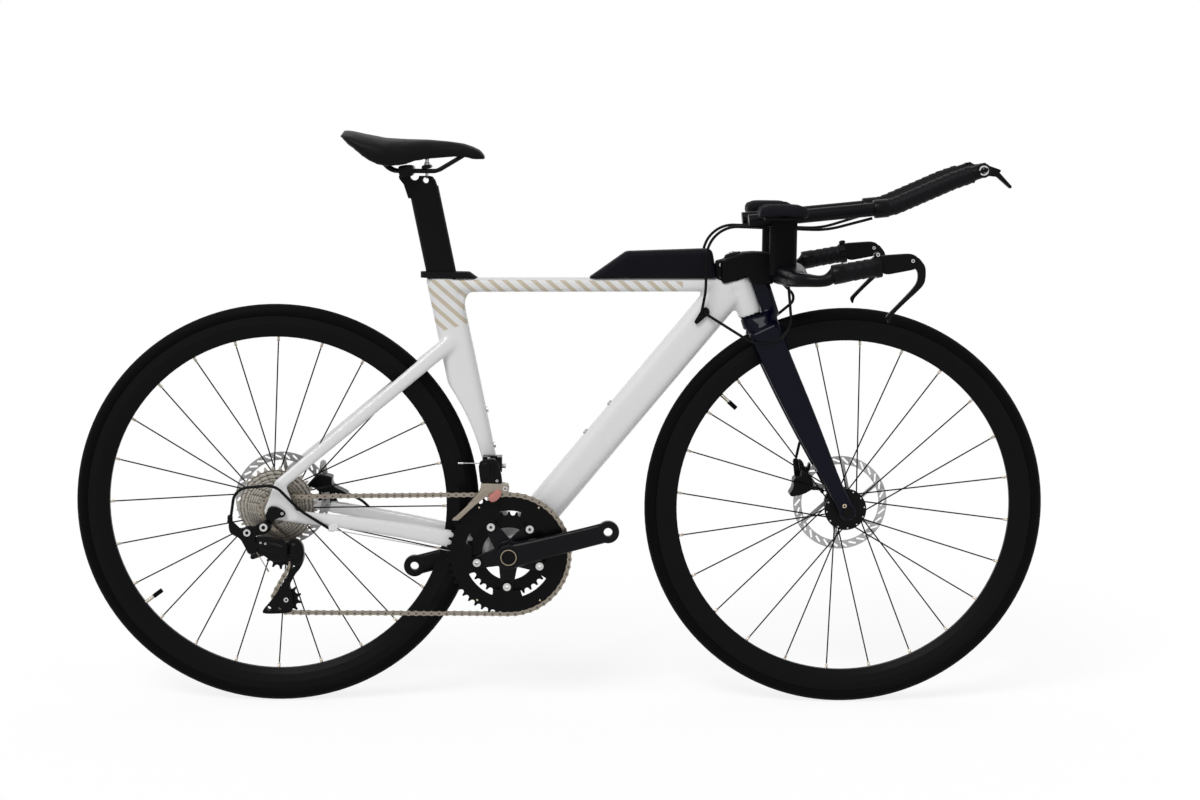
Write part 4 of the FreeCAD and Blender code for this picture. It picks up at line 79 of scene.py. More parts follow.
REAR_HUB = pivot("rear_wheel_spin")
FRONT_HUB = pivot("front_wheel_spin")
BRACKET = pivot("crank_spin")
LEVER_PIVOT = pivot("brake_right_pull")
SHIFT_PIVOT = pivot("shift_right_turn")
CAGE_PIVOT = pivot("mech_cage_swing")
GUIDE = pivot("guide_pulley_spin")
TENSION = pivot("tension_pulley_spin")
LINK_PIVOT = pivot("mech_swing")
FRONT_MECH = pivot("front_mech_swing")
STEER_UP = Vector(JOINTS["steering_turn"]["axis"]).normalized()
HOUSING_END = offset(92, -66, -31)


def colour_setting(name, about, default):
    """A colour setting."""
    return bpy.props.FloatVectorProperty(name=name, description=about, subtype="COLOR", default=default)


def length_setting(name, about, default):
    """A length setting, in metres."""
    return bpy.props.FloatProperty(name=name, description=about, unit="LENGTH", default=default)


def angle_setting(name, about, degrees):
    """An angle setting."""
    turn = math.radians(degrees)
    return bpy.props.FloatProperty(name=name, description=about, subtype="ANGLE", default=turn)


class BikePaint(bpy.types.PropertyGroup):
    """Colours of the paint, the tyres and the chain."""

    frame_white: colour_setting("Frame", "Main colour of the frame", (0.78, 0.78, 0.785))
    stripe_tan: colour_setting("Stripes", "Colour of the diagonal stripes", (0.56, 0.49, 0.38))
    fork_navy: colour_setting("Fork", "Colour of the fork", (0.0016, 0.0022, 0.0085))
    rubber_black: colour_setting("Tyres", "Colour of the tyres", (0.0016, 0.0016, 0.0018))
    chain_nickel: colour_setting("Chain", "Colour of the chain and of nickel trim", (0.28, 0.245, 0.2))
    stripe_pitch: length_setting("Stripe pitch", "From one stripe to the next", 0.024)


class BikeForm(bpy.types.PropertyGroup):
    """Sizes of the shapes that are modelled here."""

    shell_voxel: length_setting("Shell grain", "Mesh size of the moulded frame and fork", 0.0026)
    pad_voxel: length_setting("Pad grain", "Mesh size of the saddle and pads", 0.003)
    pad_swell: length_setting("Pad swell", "How far padding may swell", 0.0018)
    small_voxel: length_setting("Small grain", "Mesh size of small moulded fittings", 0.0009)
    wrap_pitch: length_setting("Wrap pitch", "From one turn of bar wrap to the next", 0.0125)
    wrap_step: length_setting("Wrap step", "How far one turn stands over the next", 0.0012)


class BikeStage(bpy.types.PropertyGroup):
    """Where the bike is seen from."""

    eye: bpy.props.FloatVectorProperty(
        name="Eye",
        description="Place of the camera",
        subtype="TRANSLATION",
        default=(-0.0246, -3.5, 0.9463),
    )
    heading: angle_setting("Heading", "Turn of the view towards ahead", 1.43)
    tilt: angle_setting("Tilt", "How far the view looks down", 7.034)
    lean: angle_setting("Lean", "Roll of the view", 0.518)
    lens: bpy.props.FloatProperty(name="Lens", description="Focal length in millimetres", default=63.19)


# Materials: shared effects are groups, each material keeps its own shader.
def new_group(name, inputs, outputs):
    """A node group with named sockets, and the two nodes that they start and end at."""
    group = bpy.data.node_groups.new(name, "ShaderNodeTree")
    for word, kind, value in inputs:
        socket = group.interface.new_socket(name=word, in_out="INPUT", socket_type=kind)
        socket.default_value = value
    for word, kind in outputs:
        group.interface.new_socket(name=word, in_out="OUTPUT", socket_type=kind)
    return group, group.nodes.new("NodeGroupInput"), group.nodes.new("NodeGroupOutput")


def add(tree, kind, **settings):
    """A new node with its settings."""
    node = tree.nodes.new(kind)
    for word, value in settings.items():
        setattr(node, word, value)
    return node


def math_node(tree, operation, first, second=None):
    """The result of one operation on numbers or on other nodes' results."""
    node = add(tree, "ShaderNodeMath", operation=operation)
    for index, value in enumerate((first, second)):
        if value is None:
            continue
        if isinstance(value, (int, float)):
            node.inputs[index].default_value = value
        else:
            tree.links.new(value, node.inputs[index])
    return node.outputs[0]


def times(tree, first, second):
    return math_node(tree, "MULTIPLY", first, second)


def grain_group():
    """Uneven colour, uneven gloss and a fine relief, as moulded and coated parts have."""
    group, source, sink = new_group(
        "Surface grain",
        (
            ("Color", "NodeSocketColor", (0.5, 0.5, 0.5, 1)),
            ("Scale", "NodeSocketFloat", 400.0),
            ("Contrast", "NodeSocketFloat", 0.15),
            ("Roughness", "NodeSocketFloat", 0.5),
            ("Spread", "NodeSocketFloat", 0.1),
        ),
        (("Color", "NodeSocketColor"), ("Roughness", "NodeSocketFloat"), ("Height", "NodeSocketFloat")),
    )
    place = add(group, "ShaderNodeTexCoord")
    fine = add(group, "ShaderNodeTexNoise")
    fine.inputs["Detail"].default_value = 3.0
    broad = add(group, "ShaderNodeTexNoise")
    broad.inputs["Scale"].default_value = 9.0
    broad.inputs["Detail"].default_value = 4.0
    group.links.new(place.outputs["Object"], fine.inputs["Vector"])
    group.links.new(place.outputs["Object"], broad.inputs["Vector"])
    group.links.new(source.outputs["Scale"], fine.inputs["Scale"])
    mean = math_node(group, "ADD", fine.outputs["Fac"], broad.outputs["Fac"])
    centred = math_node(group, "SUBTRACT", mean, 1.0)
    shift = times(group, centred, source.outputs["Contrast"])
    level = math_node(group, "ADD", shift, 1.0)
    tone = add(group, "ShaderNodeVectorMath", operation="SCALE")
    group.links.new(source.outputs["Color"], tone.inputs[0])
    group.links.new(level, tone.inputs["Scale"])
    group.links.new(tone.outputs[0], sink.inputs["Color"])
    swing = times(group, centred, source.outputs["Spread"])
    group.links.new(math_node(group, "ADD", swing, source.outputs["Roughness"]), sink.inputs["Roughness"])
    group.links.new(fine.outputs["Fac"], sink.inputs["Height"])
    return group


def polar_group():
    """Distance and turn about a wheel's axle, from the piece's own place."""
    group, source, sink = new_group(
        "About an axle",
        (("Centre", "NodeSocketVector", (0, 0, 0)),),
        (("Radius", "NodeSocketFloat"), ("Turn", "NodeSocketFloat"), ("Side", "NodeSocketFloat")),
    )
    place = add(group, "ShaderNodeTexCoord")
    step = add(group, "ShaderNodeVectorMath", operation="SUBTRACT")
    group.links.new(place.outputs["Object"], step.inputs[0])
    group.links.new(source.outputs["Centre"], step.inputs[1])
    parts = add(group, "ShaderNodeSeparateXYZ")
    group.links.new(step.outputs[0], parts.inputs[0])
    across = times(group, parts.outputs[0], parts.outputs[0])
    above = times(group, parts.outputs[2], parts.outputs[2])
    radius = math_node(group, "SQRT", math_node(group, "ADD", across, above))
    group.links.new(radius, sink.inputs["Radius"])
    group.links.new(math_node(group, "ARCTAN2", parts.outputs[2], parts.outputs[0]), sink.inputs["Turn"])
    group.links.new(parts.outputs[1], sink.inputs["Side"])
    return group


GROUPS = {}


def group_node(tree, name, maker, **values):
    """A shared group placed in a material with its own values; the group is made at its first use."""
    if name not in GROUPS:
        GROUPS[name] = maker()
    node = tree.nodes.new("ShaderNodeGroup")
    node.node_tree = GROUPS[name]
    for word, value in values.items():
        node.inputs[word].default_value = value
    return node


COAT_ROUGHNESS = 0.06
GRAIN_DEPTH = 0.0006


def relieved(material, height, strength, depth):
    """Gives a material its relief, in place of any it had."""
    tree = material.node_tree
    bump = add(tree, "ShaderNodeBump")
    bump.inputs["Strength"].default_value = strength
    bump.inputs["Distance"].default_value = depth
    tree.links.new(height, bump.inputs["Height"])
    tree.links.new(bump.outputs["Normal"], tree.nodes["Principled BSDF"].inputs["Normal"])


def finish(
    name, color, rough=0.5, gloss=0.12, metal=0.0, coat=0.0, scale=400.0, contrast=0.15, spread=0.1,
    relief=0.1,
):
    """A material whose colour, gloss and relief come from the shared grain."""
    material = bpy.data.materials.new(name)
    material.use_nodes = True
    tree = material.node_tree
    shader = tree.nodes["Principled BSDF"]
    shader.inputs["Metallic"].default_value = metal
    shader.inputs["Specular IOR Level"].default_value = gloss
    shader.inputs["Coat Weight"].default_value = coat
    shader.inputs["Coat Roughness"].default_value = COAT_ROUGHNESS
    tone = (*color, 1)
    values = {"Color": tone, "Scale": scale, "Contrast": contrast, "Roughness": rough, "Spread": spread}
    grain = group_node(tree, "grain", grain_group, **values)
    grain.name = "grain"
    tree.links.new(grain.outputs["Color"], shader.inputs["Base Color"])
    tree.links.new(grain.outputs["Roughness"], shader.inputs["Roughness"])
    relieved(material, grain.outputs["Height"], relief, GRAIN_DEPTH)
    return material


# A mix node's colour sockets, by number.
FIRST_COLOR, SECOND_COLOR, MIXED_COLOR = 6, 7, 2


def mixed(tree, mask, first, color):
    """A colour that turns from the first to another where the mask is 1."""
    mix = add(tree, "ShaderNodeMix", data_type="RGBA")
    tree.links.new(mask, mix.inputs["Factor"])
    tree.links.new(first, mix.inputs[FIRST_COLOR])
    mix.inputs[SECOND_COLOR].default_value = (*color, 1)
    return mix.outputs[MIXED_COLOR]


def placed(tree):
    """The piece's own ahead, side and up coordinates."""
    place = add(tree, "ShaderNodeTexCoord")
    parts = add(tree, "ShaderNodeSeparateXYZ")
    tree.links.new(place.outputs["Object"], parts.inputs[0])
    return parts.outputs[0], parts.outputs[1], parts.outputs[2]


def plated_where(material, mask, color, rough):
    """Turns part of a dark material to bare metal where the mask is 1."""
    tree = material.node_tree
    shader = tree.nodes["Principled BSDF"]
    grain = tree.nodes["grain"]
    tree.links.new(mixed(tree, mask, grain.outputs["Color"], color), shader.inputs["Base Color"])
    tree.links.new(mask, shader.inputs["Metallic"])
    drop = times(tree, mask, rough)
    keep = times(tree, grain.outputs["Roughness"], math_node(tree, "SUBTRACT", 1.0, mask))
    tree.links.new(math_node(tree, "ADD", keep, drop), shader.inputs["Roughness"])


def frame_paint():
    """White gloss paint with plain diagonal stripes on the seat tube's top and the top tube."""
    lean, stripe_share = 1.15, 0.42
    edge_slope, edge_foot, edge_cap = 0.30, 0.690, 0.697
    top_edge, front_edge = 0.7155, 0.198
    paint = bpy.context.scene.bike_paint
    white = paint.frame_white
    material = finish("frame_paint", white, 0.32, 0.4, coat=0.35, scale=1500, contrast=0.04, relief=0.02)
    tree = material.node_tree
    ahead, _, up = placed(tree)
    slant = math_node(tree, "ADD", ahead, times(tree, up, lean))
    phase = math_node(tree, "FRACT", math_node(tree, "DIVIDE", slant, paint.stripe_pitch))
    stripe = math_node(tree, "LESS_THAN", phase, stripe_share)
    low_edge = math_node(tree, "ADD", times(tree, ahead, edge_slope), edge_foot)
    inside = math_node(tree, "GREATER_THAN", up, math_node(tree, "MINIMUM", low_edge, edge_cap))
    under = math_node(tree, "LESS_THAN", up, top_edge)
    behind = math_node(tree, "LESS_THAN", ahead, front_edge)
    mask = times(tree, times(tree, stripe, inside), times(tree, under, behind))
    striped = mixed(tree, mask, tree.nodes["grain"].outputs["Color"], paint.stripe_tan)
    tree.links.new(striped, tree.nodes["Principled BSDF"].inputs["Base Color"])
    return material


def tyre_rubber(name, hub):
    """Black rubber with a filed tread, fine moulding rings on the walls and a plated valve stem."""
    tread_lines, cross_lines, wall_rings = 720.0, 2600.0, 2900.0
    tread_from, wall_to = 0.3305, 0.3265
    stem_end, stem_foot = 0.2645, 0.29
    stem_nickel = (0.48, 0.44, 0.38)
    paint = bpy.context.scene.bike_paint
    material = finish(name, paint.rubber_black, 0.6, 0.05, scale=900, contrast=0.4, spread=0.2)
    tree = material.node_tree
    about = group_node(tree, "polar", polar_group, Centre=hub)
    radius = about.outputs["Radius"]
    lines = math_node(tree, "SINE", times(tree, about.outputs["Turn"], tread_lines))
    side = times(tree, math_node(tree, "ABSOLUTE", about.outputs["Side"]), cross_lines)
    crossing = times(tree, lines, math_node(tree, "SINE", side))
    filed = times(tree, crossing, math_node(tree, "GREATER_THAN", radius, tread_from))
    rings = math_node(tree, "SINE", times(tree, radius, wall_rings))
    walls = times(tree, rings, math_node(tree, "LESS_THAN", radius, wall_to))
    relieved(material, math_node(tree, "ADD", filed, walls), 0.35, 0.0004)
    past_cap = math_node(tree, "GREATER_THAN", radius, stem_end)
    below_rim = math_node(tree, "LESS_THAN", radius, stem_foot)
    plated_where(material, times(tree, past_cap, below_rim), stem_nickel, 0.3)
    return material


def turned_metal(name, color, hub, rough, gloss=0.5, metal=1.0, lines=9000.0):
    """Metal with fine rings left by turning about an axle."""
    material = finish(name, color, rough, gloss, metal=metal, scale=700, contrast=0.12, spread=0.15)
    tree = material.node_tree
    about = group_node(tree, "polar", polar_group, Centre=hub)
    rings = math_node(tree, "SINE", times(tree, about.outputs["Radius"], lines))
    relieved(material, rings, 0.12, 0.0002)
    return material


COG_TEETH = (11, 12, 13, 14, 16, 18, 20, 22, 25, 28, 32)
CHAIN_PITCH = 0.0127
TOOTH_TIP = 0.0024


def cog_metal(color):
    """Plated cogs, with painted shade on each where it lies behind the next smaller one."""
    material = turned_metal("cog_nickel", color, REAR_HUB, 0.36)
    tree = material.node_tree
    tips = [CHAIN_PITCH / 2 / math.sin(math.pi / teeth) + TOOTH_TIP for teeth in COG_TEETH]
    about = group_node(tree, "polar", polar_group, Centre=REAR_HUB)
    share = math_node(tree, "DIVIDE", about.outputs["Radius"], tips[-1])
    # Painted shade: a ramp by radius darkens each cog's face just outside the next smaller cog's teeth,
    # where that cog shades it.
    ramp = add(tree, "ShaderNodeValToRGB")
    tree.links.new(share, ramp.inputs[0])
    dark, pale = (0.22, 0.22, 0.22, 1), (1.0, 1.0, 1.0, 1)
    ramp.color_ramp.elements[0].color = pale
    ramp.color_ramp.elements[1].color = pale
    for low, high in zip(tips, tips[1:]):
        for spot, tone in ((low + 0.0002, dark), (low + (high - low) * 0.55, pale), (high - 0.0001, pale)):
            ramp.color_ramp.elements.new(spot / tips[-1]).color = tone
    shaded = add(tree, "ShaderNodeMix", data_type="RGBA", blend_type="MULTIPLY")
    shaded.inputs["Factor"].default_value = 1.0
    tree.links.new(tree.nodes["grain"].outputs["Color"], shaded.inputs[FIRST_COLOR])
    tree.links.new(ramp.outputs[0], shaded.inputs[SECOND_COLOR])
    tree.links.new(shaded.outputs[MIXED_COLOR], tree.nodes["Principled BSDF"].inputs["Base Color"])
    return material


def spoke_steel(name, hub):
    """Black spokes with plated nipples at the rim."""
    nipple_radius = 0.2725
    material = finish(name, (0.0035, 0.0035, 0.004), 0.35, 0.1, scale=1500, contrast=0.2)
    tree = material.node_tree
    about = group_node(tree, "polar", polar_group, Centre=hub)
    mask = math_node(tree, "GREATER_THAN", about.outputs["Radius"], nipple_radius)
    plated_where(material, mask, (0.52, 0.47, 0.40), 0.35)
    return material


BLACK = (0.0020, 0.0020, 0.0026)
DISC_STEEL = (0.42, 0.42, 0.42)


def cable_finish():
    """Black housing on the right chain stay's end, and bare steel wire ahead of it."""
    housing_front, left_side = -0.3805, 0.03
    material = finish("rear_housing", BLACK, 0.4, 0.1, scale=600, contrast=0.3, relief=0.05)
    tree = material.node_tree
    ahead, side, _ = placed(tree)
    bare = math_node(tree, "GREATER_THAN", ahead, housing_front)
    near = math_node(tree, "LESS_THAN", side, left_side)
    plated_where(material, times(tree, bare, near), (0.45, 0.44, 0.42), 0.35)
    return material


# Each row: name, colour, roughness, gloss, then the grain's scale, contrast and relief.
PLAIN_FINISHES = (
    ("matte_black", BLACK, 0.5, 0.07, 1300, 0.25, 0.12),
    ("post_black", (0.0040, 0.0034, 0.0040), 0.48, 0.07, 1600, 0.3, 0.1),
    ("box_black", (0.0042, 0.0042, 0.0068), 0.55, 0.07, 2200, 0.3, 0.25),
    ("bar_black", (0.0020, 0.0020, 0.0032), 0.32, 0.09, 1500, 0.2, 0.05),
    ("gloss_black", (0.0016, 0.0016, 0.0020), 0.22, 0.1, 900, 0.2, 0.03),
    ("anodised", BLACK, 0.32, 0.09, 1800, 0.2, 0.05),
    ("crank_black", (0.0022, 0.0022, 0.0034), 0.28, 0.12, 1400, 0.2, 0.03),
    ("hood_rubber", BLACK, 0.5, 0.08, 1600, 0.3, 0.25),
    ("housing", BLACK, 0.4, 0.1, 600, 0.3, 0.05),
    ("leather", (0.0024, 0.0022, 0.0030), 0.42, 0.1, 2600, 0.3, 0.3),
    ("foam", (0.0040, 0.0042, 0.0065), 0.6, 0.1, 1800, 0.4, 0.5),
    ("wrap", (0.0030, 0.0030, 0.0042), 0.45, 0.1, 1500, 0.3, 0.35),
    ("band_tape", BLACK, 0.28, 0.1, 1200, 0.2, 0.05),
    ("nylon", (0.0025, 0.0025, 0.0030), 0.42, 0.1, 900, 0.2, 0.1),
    ("skid_pink", (0.50, 0.20, 0.17), 0.5, 0.3, 700, 0.35, 0.15),
)
# Each row: name, colour, roughness, then the grain's scale, contrast and spread.
METAL_FINISHES = (
    ("steel", (0.55, 0.55, 0.54), 0.3, 900, 0.15, 0.2),
    # Painted shade: the chain rivets' steel, darkened for the shade round the rollers.
    ("pin_shade_steel", (0.09, 0.09, 0.09), 0.35, 900, 0.15, 0.1),
    ("brass", (0.55, 0.46, 0.33), 0.32, 900, 0.15, 0.1),
)
METAL_GLOSS = 0.5
RIM_LINES = 5200.0
FINISHES = {}


def make_finishes():
    """Fills the table of finishes for pieces and solids."""
    paint = bpy.context.scene.bike_paint
    for name, color, rough, gloss, scale, contrast, relief in PLAIN_FINISHES:
        FINISHES[name] = finish(name, color, rough, gloss, scale=scale, contrast=contrast, relief=relief)
    nickel = ("nickel", paint.chain_nickel, 0.34, 500, 0.35, 0.25)
    for name, color, rough, scale, contrast, spread in METAL_FINISHES + (nickel,):
        values = {"metal": 1.0, "scale": scale, "contrast": contrast, "spread": spread}
        FINISHES[name] = finish(name, color, rough, METAL_GLOSS, **values)
    for end, hub in (("front", FRONT_HUB), ("rear", REAR_HUB)):
        FINISHES[end + "_disc"] = turned_metal(end + "_disc", DISC_STEEL, hub, 0.32)
        FINISHES[end + "_rubber"] = tyre_rubber(end + "_rubber", hub)
        FINISHES[end + "_rim"] = turned_metal(end + "_rim", BLACK, hub, 0.36, 0.08, 0.0, RIM_LINES)
        FINISHES[end + "_spoke"] = spoke_steel(end + "_spoke", hub)
    navy = paint.fork_navy
    lacquer = finish("fork_paint", navy, 0.22, 0.02, coat=0.17, scale=1800, contrast=0.3, relief=0.02)
    FINISHES["fork_paint"] = lacquer
    FINISHES["frame_paint"] = frame_paint()
    FINISHES["rear_housing"] = cable_finish()
    FINISHES["cog_nickel"] = cog_metal((0.44, 0.41, 0.36))
    FINISHES["ring_black"] = turned_metal("ring_black", BLACK, BRACKET, 0.32, 0.08, 0.0)


# The solids that are shown as they are, by finish.
SOLID_FINISHES = {
    "anodised": (
        "front_hub", "rear_hub", "front_axle", "rear_axle", "crank_spindle", "frame_bearings",
        "shifter_bodies", "saddle_rails", "mech_inner_link",
    ),
    "gloss_black": (
        "shift_lever_right", "shift_lever_left", "mech_outer_link", "mech_cage_knuckle",
        "front_mech_body", "front_caliper_arm",
    ),
    "steel": ("chainring_bolts", "bottle_bolts", "rear_caliper_arm"),
    "nylon": ("guide_pulley", "tension_pulley"),
    "ring_black": ("chainring_outer", "chainring_inner"),
    "bar_black": ("base_bar", "extensions"),
    "hood_rubber": ("seat_cover", "cable_ports"),
    "matte_black": ("risers",),
    "post_black": ("seatpost",),
    "housing": ("front_brake_cable",),
    "rear_housing": ("rear_cables",),
    "nickel": ("chain",),
    "cog_nickel": ("cassette",),
    "rear_rubber": ("rear_tyre",),
    "front_rim": ("front_rim",),
    "rear_rim": ("rear_rim",),
    "front_disc": ("front_rotor",),
    "rear_disc": ("rear_rotor",),
}


# Modelling helpers.
CAD_MERGE = 0.00002
FINE_MERGE = 0.000001


def alone(obj):
    """Makes one object the only selected and active one."""
    bpy.ops.object.select_all(action="DESELECT")
    obj.select_set(True)
    bpy.context.view_layer.objects.active = obj


def painted(obj, finish_name):
    """Gives all of an object one finish."""
    if not obj.material_slots:
        obj.data.materials.append(FINISHES[finish_name])
    for slot in obj.material_slots:
        slot.material = FINISHES[finish_name]


def copy_of(node, name):
    """A merged copy of a CAD node's mesh as a new piece."""
    obj = NODES[node].copy()
    obj.data = NODES[node].data.copy()
    obj.name = name
    obj.data.name = name
    for key in list(obj.keys()):
        del obj[key]
    obj.parent = None
    bpy.context.scene.collection.objects.link(obj)
    alone(obj)
    bpy.ops.object.mode_set(mode="EDIT")
    bpy.ops.mesh.select_all(action="SELECT")
    bpy.ops.mesh.remove_doubles(threshold=CAD_MERGE)
    bpy.ops.object.mode_set(mode="OBJECT")
    return obj


def modify(obj, kind, **settings):
    """Adds a modifier, sets it and applies it."""
    alone(obj)
    modifier = obj.modifiers.new(kind.title(), kind)
    for word, value in settings.items():
        setattr(modifier, word, value)
    bpy.ops.object.modifier_apply(modifier=modifier.name)


def smooth_shade(obj, degrees=None):
    """Shades an object smooth, or only across edges that turn less than an angle."""
    alone(obj)
    if degrees is None:
        bpy.ops.object.shade_smooth()
    else:
        bpy.ops.object.shade_smooth_by_angle(angle=math.radians(degrees))


def weights(obj, name, rule):
    """A vertex group whose weights follow a rule on each point's place."""
    group = obj.vertex_groups.new(name=name)
    for vertex in obj.data.vertices:
        group.add([vertex.index], rule(vertex.co), "REPLACE")
    return group.name


def installed(obj, body, finish_name, slot, *nodes):
    """Paints a finished piece, ties it to its body and hides the CAD nodes it replaces; the slot is not
    used.
    """
    painted(obj, finish_name)
    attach(obj, body)
    if nodes:
        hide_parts(*nodes)
    return obj


def joined(name, pieces):
    """One object of several."""
    bpy.ops.object.select_all(action="DESELECT")
    for piece in pieces:
        piece.select_set(True)
    bpy.context.view_layer.objects.active = pieces[0]
    if len(pieces) > 1:
        bpy.ops.object.join()
    pieces[0].name = name
    pieces[0].data.name = name
    return pieces[0]


def melted(obj, voxel, rounds, factor=0.5, flow=None):
    """Melts a mesh into one skin and smooths it, by a rule on each point's place where one is given."""
    modify(obj, "REMESH", mode="VOXEL", voxel_size=voxel)
    group = weights(obj, "flow", flow) if flow else ""
    modify(obj, "SMOOTH", factor=factor, iterations=rounds, vertex_group=group)
    smooth_shade(obj)


def moulded(name, pieces, voxel, rounds):
    """One moulded body: pieces melted together and smoothed."""
    body = joined(name, pieces)
    melted(body, voxel, rounds)
    return body


def mirrored(obj):
    """A copy on the other side of the bike."""
    twin = obj.copy()
    twin.data = obj.data.copy()
    bpy.context.scene.collection.objects.link(twin)
    twin.data.transform(Matrix.Scale(-1, 4, LEFT))
    outward(twin)
    return twin


def outward(obj):
    """Merges a mesh's doubles and points its faces outwards."""
    alone(obj)
    bpy.ops.object.mode_set(mode="EDIT")
    bpy.ops.mesh.select_all(action="SELECT")
    bpy.ops.mesh.remove_doubles(threshold=FINE_MERGE)
    bpy.ops.mesh.dissolve_degenerate(threshold=FINE_MERGE)
    bpy.ops.mesh.select_all(action="SELECT")
    bpy.ops.mesh.normals_make_consistent(inside=False)
    bpy.ops.object.mode_set(mode="OBJECT")


def eased(points, rounds=2):
    """Cuts a closed outline's corners so that they turn in curves."""
    quarter = 0.25
    for _ in range(rounds):
        softer = []
        for (x, z), (far_x, far_z) in zip(points, points[1:] + points[:1]):
            for share in (quarter, 1 - quarter):
                softer.append((x + (far_x - x) * share, z + (far_z - z) * share))
        points = softer
    return points


def plate(name, outline, near, far, edge=0.8, anchor=Vector((0, 0, 0))):
    """A flat piece: a side outline in millimetres from an anchor, thickened across the bike."""
    bpy.ops.object.select_all(action="DESELECT")
    bpy.ops.mesh.primitive_circle_add(vertices=len(outline), radius=MM, fill_type="NGON")
    obj = bpy.context.active_object
    obj.name = name
    for vertex, (x, z) in zip(obj.data.vertices, outline):
        vertex.co = (anchor.x + x * MM, near * MM, anchor.z + z * MM)
    bpy.ops.object.mode_set(mode="EDIT")
    bpy.ops.mesh.select_all(action="SELECT")
    bpy.ops.mesh.extrude_region_move(TRANSFORM_OT_translate={"value": (0, (far - near) * MM, 0)})
    bpy.ops.object.mode_set(mode="OBJECT")
    outward(obj)
    if edge:
        sharp = math.radians(50)
        modify(obj, "BEVEL", width=edge * MM, segments=2, limit_method="ANGLE", angle_limit=sharp)
    smooth_shade(obj, 40)
    return obj


def turned(name, profile, place, axis, steps=28):
    """A round piece: a closed half section of (radius, along) in millimetres, spun about an axis."""
    bpy.ops.object.select_all(action="DESELECT")
    bpy.ops.mesh.primitive_circle_add(vertices=len(profile), radius=MM, fill_type="NOTHING")
    obj = bpy.context.active_object
    obj.name = name
    for vertex, (radius, along) in zip(obj.data.vertices, profile):
        vertex.co = (radius * MM, 0, along * MM)
    bpy.ops.object.mode_set(mode="EDIT")
    bpy.ops.mesh.select_all(action="SELECT")
    bpy.ops.mesh.spin(steps=steps, angle=FULL_TURN, center=(0, 0, 0), axis=(0, 0, 1))
    bpy.ops.object.mode_set(mode="OBJECT")
    outward(obj)
    turn = Vector(axis).to_track_quat("Z", "Y").to_matrix().to_4x4()
    obj.data.transform(Matrix.Translation(place) @ turn)
    smooth_shade(obj, 35)
    return obj


def cap_screw():
    """A screw head of unit radius and height, with an eased rim and a six-sided socket in painted shade.
    """
    inset, socket, depth, rim = 0.46, 0.5, 0.6, 0.09
    margin = 0.05
    bpy.ops.object.select_all(action="DESELECT")
    bpy.ops.mesh.primitive_cylinder_add(vertices=24, radius=1, depth=1, location=(0, 0, 0))
    head = bpy.context.active_object
    bpy.ops.object.mode_set(mode="EDIT")
    bpy.ops.mesh.select_mode(type="FACE")
    bpy.ops.mesh.select_all(action="DESELECT")
    bpy.ops.object.mode_set(mode="OBJECT")
    for face in head.data.polygons:
        face.select = face.normal.z > 0.9
    bpy.ops.object.mode_set(mode="EDIT")
    bpy.ops.mesh.inset(thickness=inset)
    bpy.ops.object.mode_set(mode="OBJECT")
    sixth = FULL_TURN / 6
    for face in head.data.polygons:
        if face.select:
            for index in face.vertices:
                point = head.data.vertices[index].co
                turn = math.atan2(point.y, point.x) % sixth - sixth / 2
                length = socket * math.cos(sixth / 2) / math.cos(turn)
                flat = Vector((point.x, point.y, 0)).normalized() * length
                head.data.vertices[index].co = (flat.x, flat.y, point.z)
    bpy.ops.object.mode_set(mode="EDIT")
    bpy.ops.mesh.extrude_region_move(TRANSFORM_OT_translate={"value": (0, 0, -depth)})
    bpy.ops.object.mode_set(mode="OBJECT")
    for vertex in head.data.vertices:
        vertex.co.z += 0.5
    head.data.materials.append(FINISHES["steel"])
    # The socket's faces take the black anodised finish as painted shade of the recess.
    head.data.materials.append(FINISHES["anodised"])
    for face in head.data.polygons:
        reach = max(math.hypot(*head.data.vertices[index].co.xy) for index in face.vertices)
        face.material_index = 1 if reach < socket + margin else 0
    modify(head, "BEVEL", width=rim, segments=2, limit_method="ANGLE", angle_limit=math.radians(60))
    smooth_shade(head, 35)
    return head


def spoke(turn, radius):
    """An arm out from an axle at a turn, its radius in millimetres."""
    return Vector((math.cos(turn), 0, math.sin(turn))) * (radius * MM)


def stamped(master, place, axis, radius, height):
    """A copy of a unit shape, scaled in millimetres and set on a place along an axis."""
    obj = master.copy()
    obj.data = master.data.copy()
    bpy.context.scene.collection.objects.link(obj)
    turn = Vector(axis).to_track_quat("Z", "Y").to_matrix().to_4x4()
    size = Matrix.Diagonal((radius * MM, radius * MM, height * MM, 1))
    obj.data.transform(Matrix.Translation(place) @ turn @ size)
    return obj


def swollen(obj, reach, pressure=4.0, last_frame=20):
    """Lets a closed cover swell under pressure, no point further than the reach."""
    scene = bpy.context.scene
    rest = [vertex.co.copy() for vertex in obj.data.vertices]
    cloth = obj.modifiers.new("Cloth", "CLOTH")
    cloth.settings.use_pressure = True
    cloth.settings.uniform_pressure_force = pressure
    cloth.settings.effector_weights.gravity = 0
    cloth.point_cache.frame_end = last_frame
    for step in range(1, last_frame + 1):
        scene.frame_set(step)
    solved = obj.evaluated_get(bpy.context.evaluated_depsgraph_get()).data
    shifts = [after.co - before for after, before in zip(solved.vertices, rest)]
    obj.modifiers.remove(cloth)
    scene.frame_set(1)
    for vertex, before, shift in zip(obj.data.vertices, rest, shifts):
        if shift.length > reach:
            shift.length = reach
        vertex.co = before + shift


def upholstered(cover, rounds):
    """Swells a cover, then relaxes and refines it."""
    swollen(cover, bpy.context.scene.bike_form.pad_swell)
    modify(cover, "SMOOTH", factor=0.5, iterations=rounds)
    modify(cover, "SUBSURF", levels=1, render_levels=1)
    smooth_shade(cover)


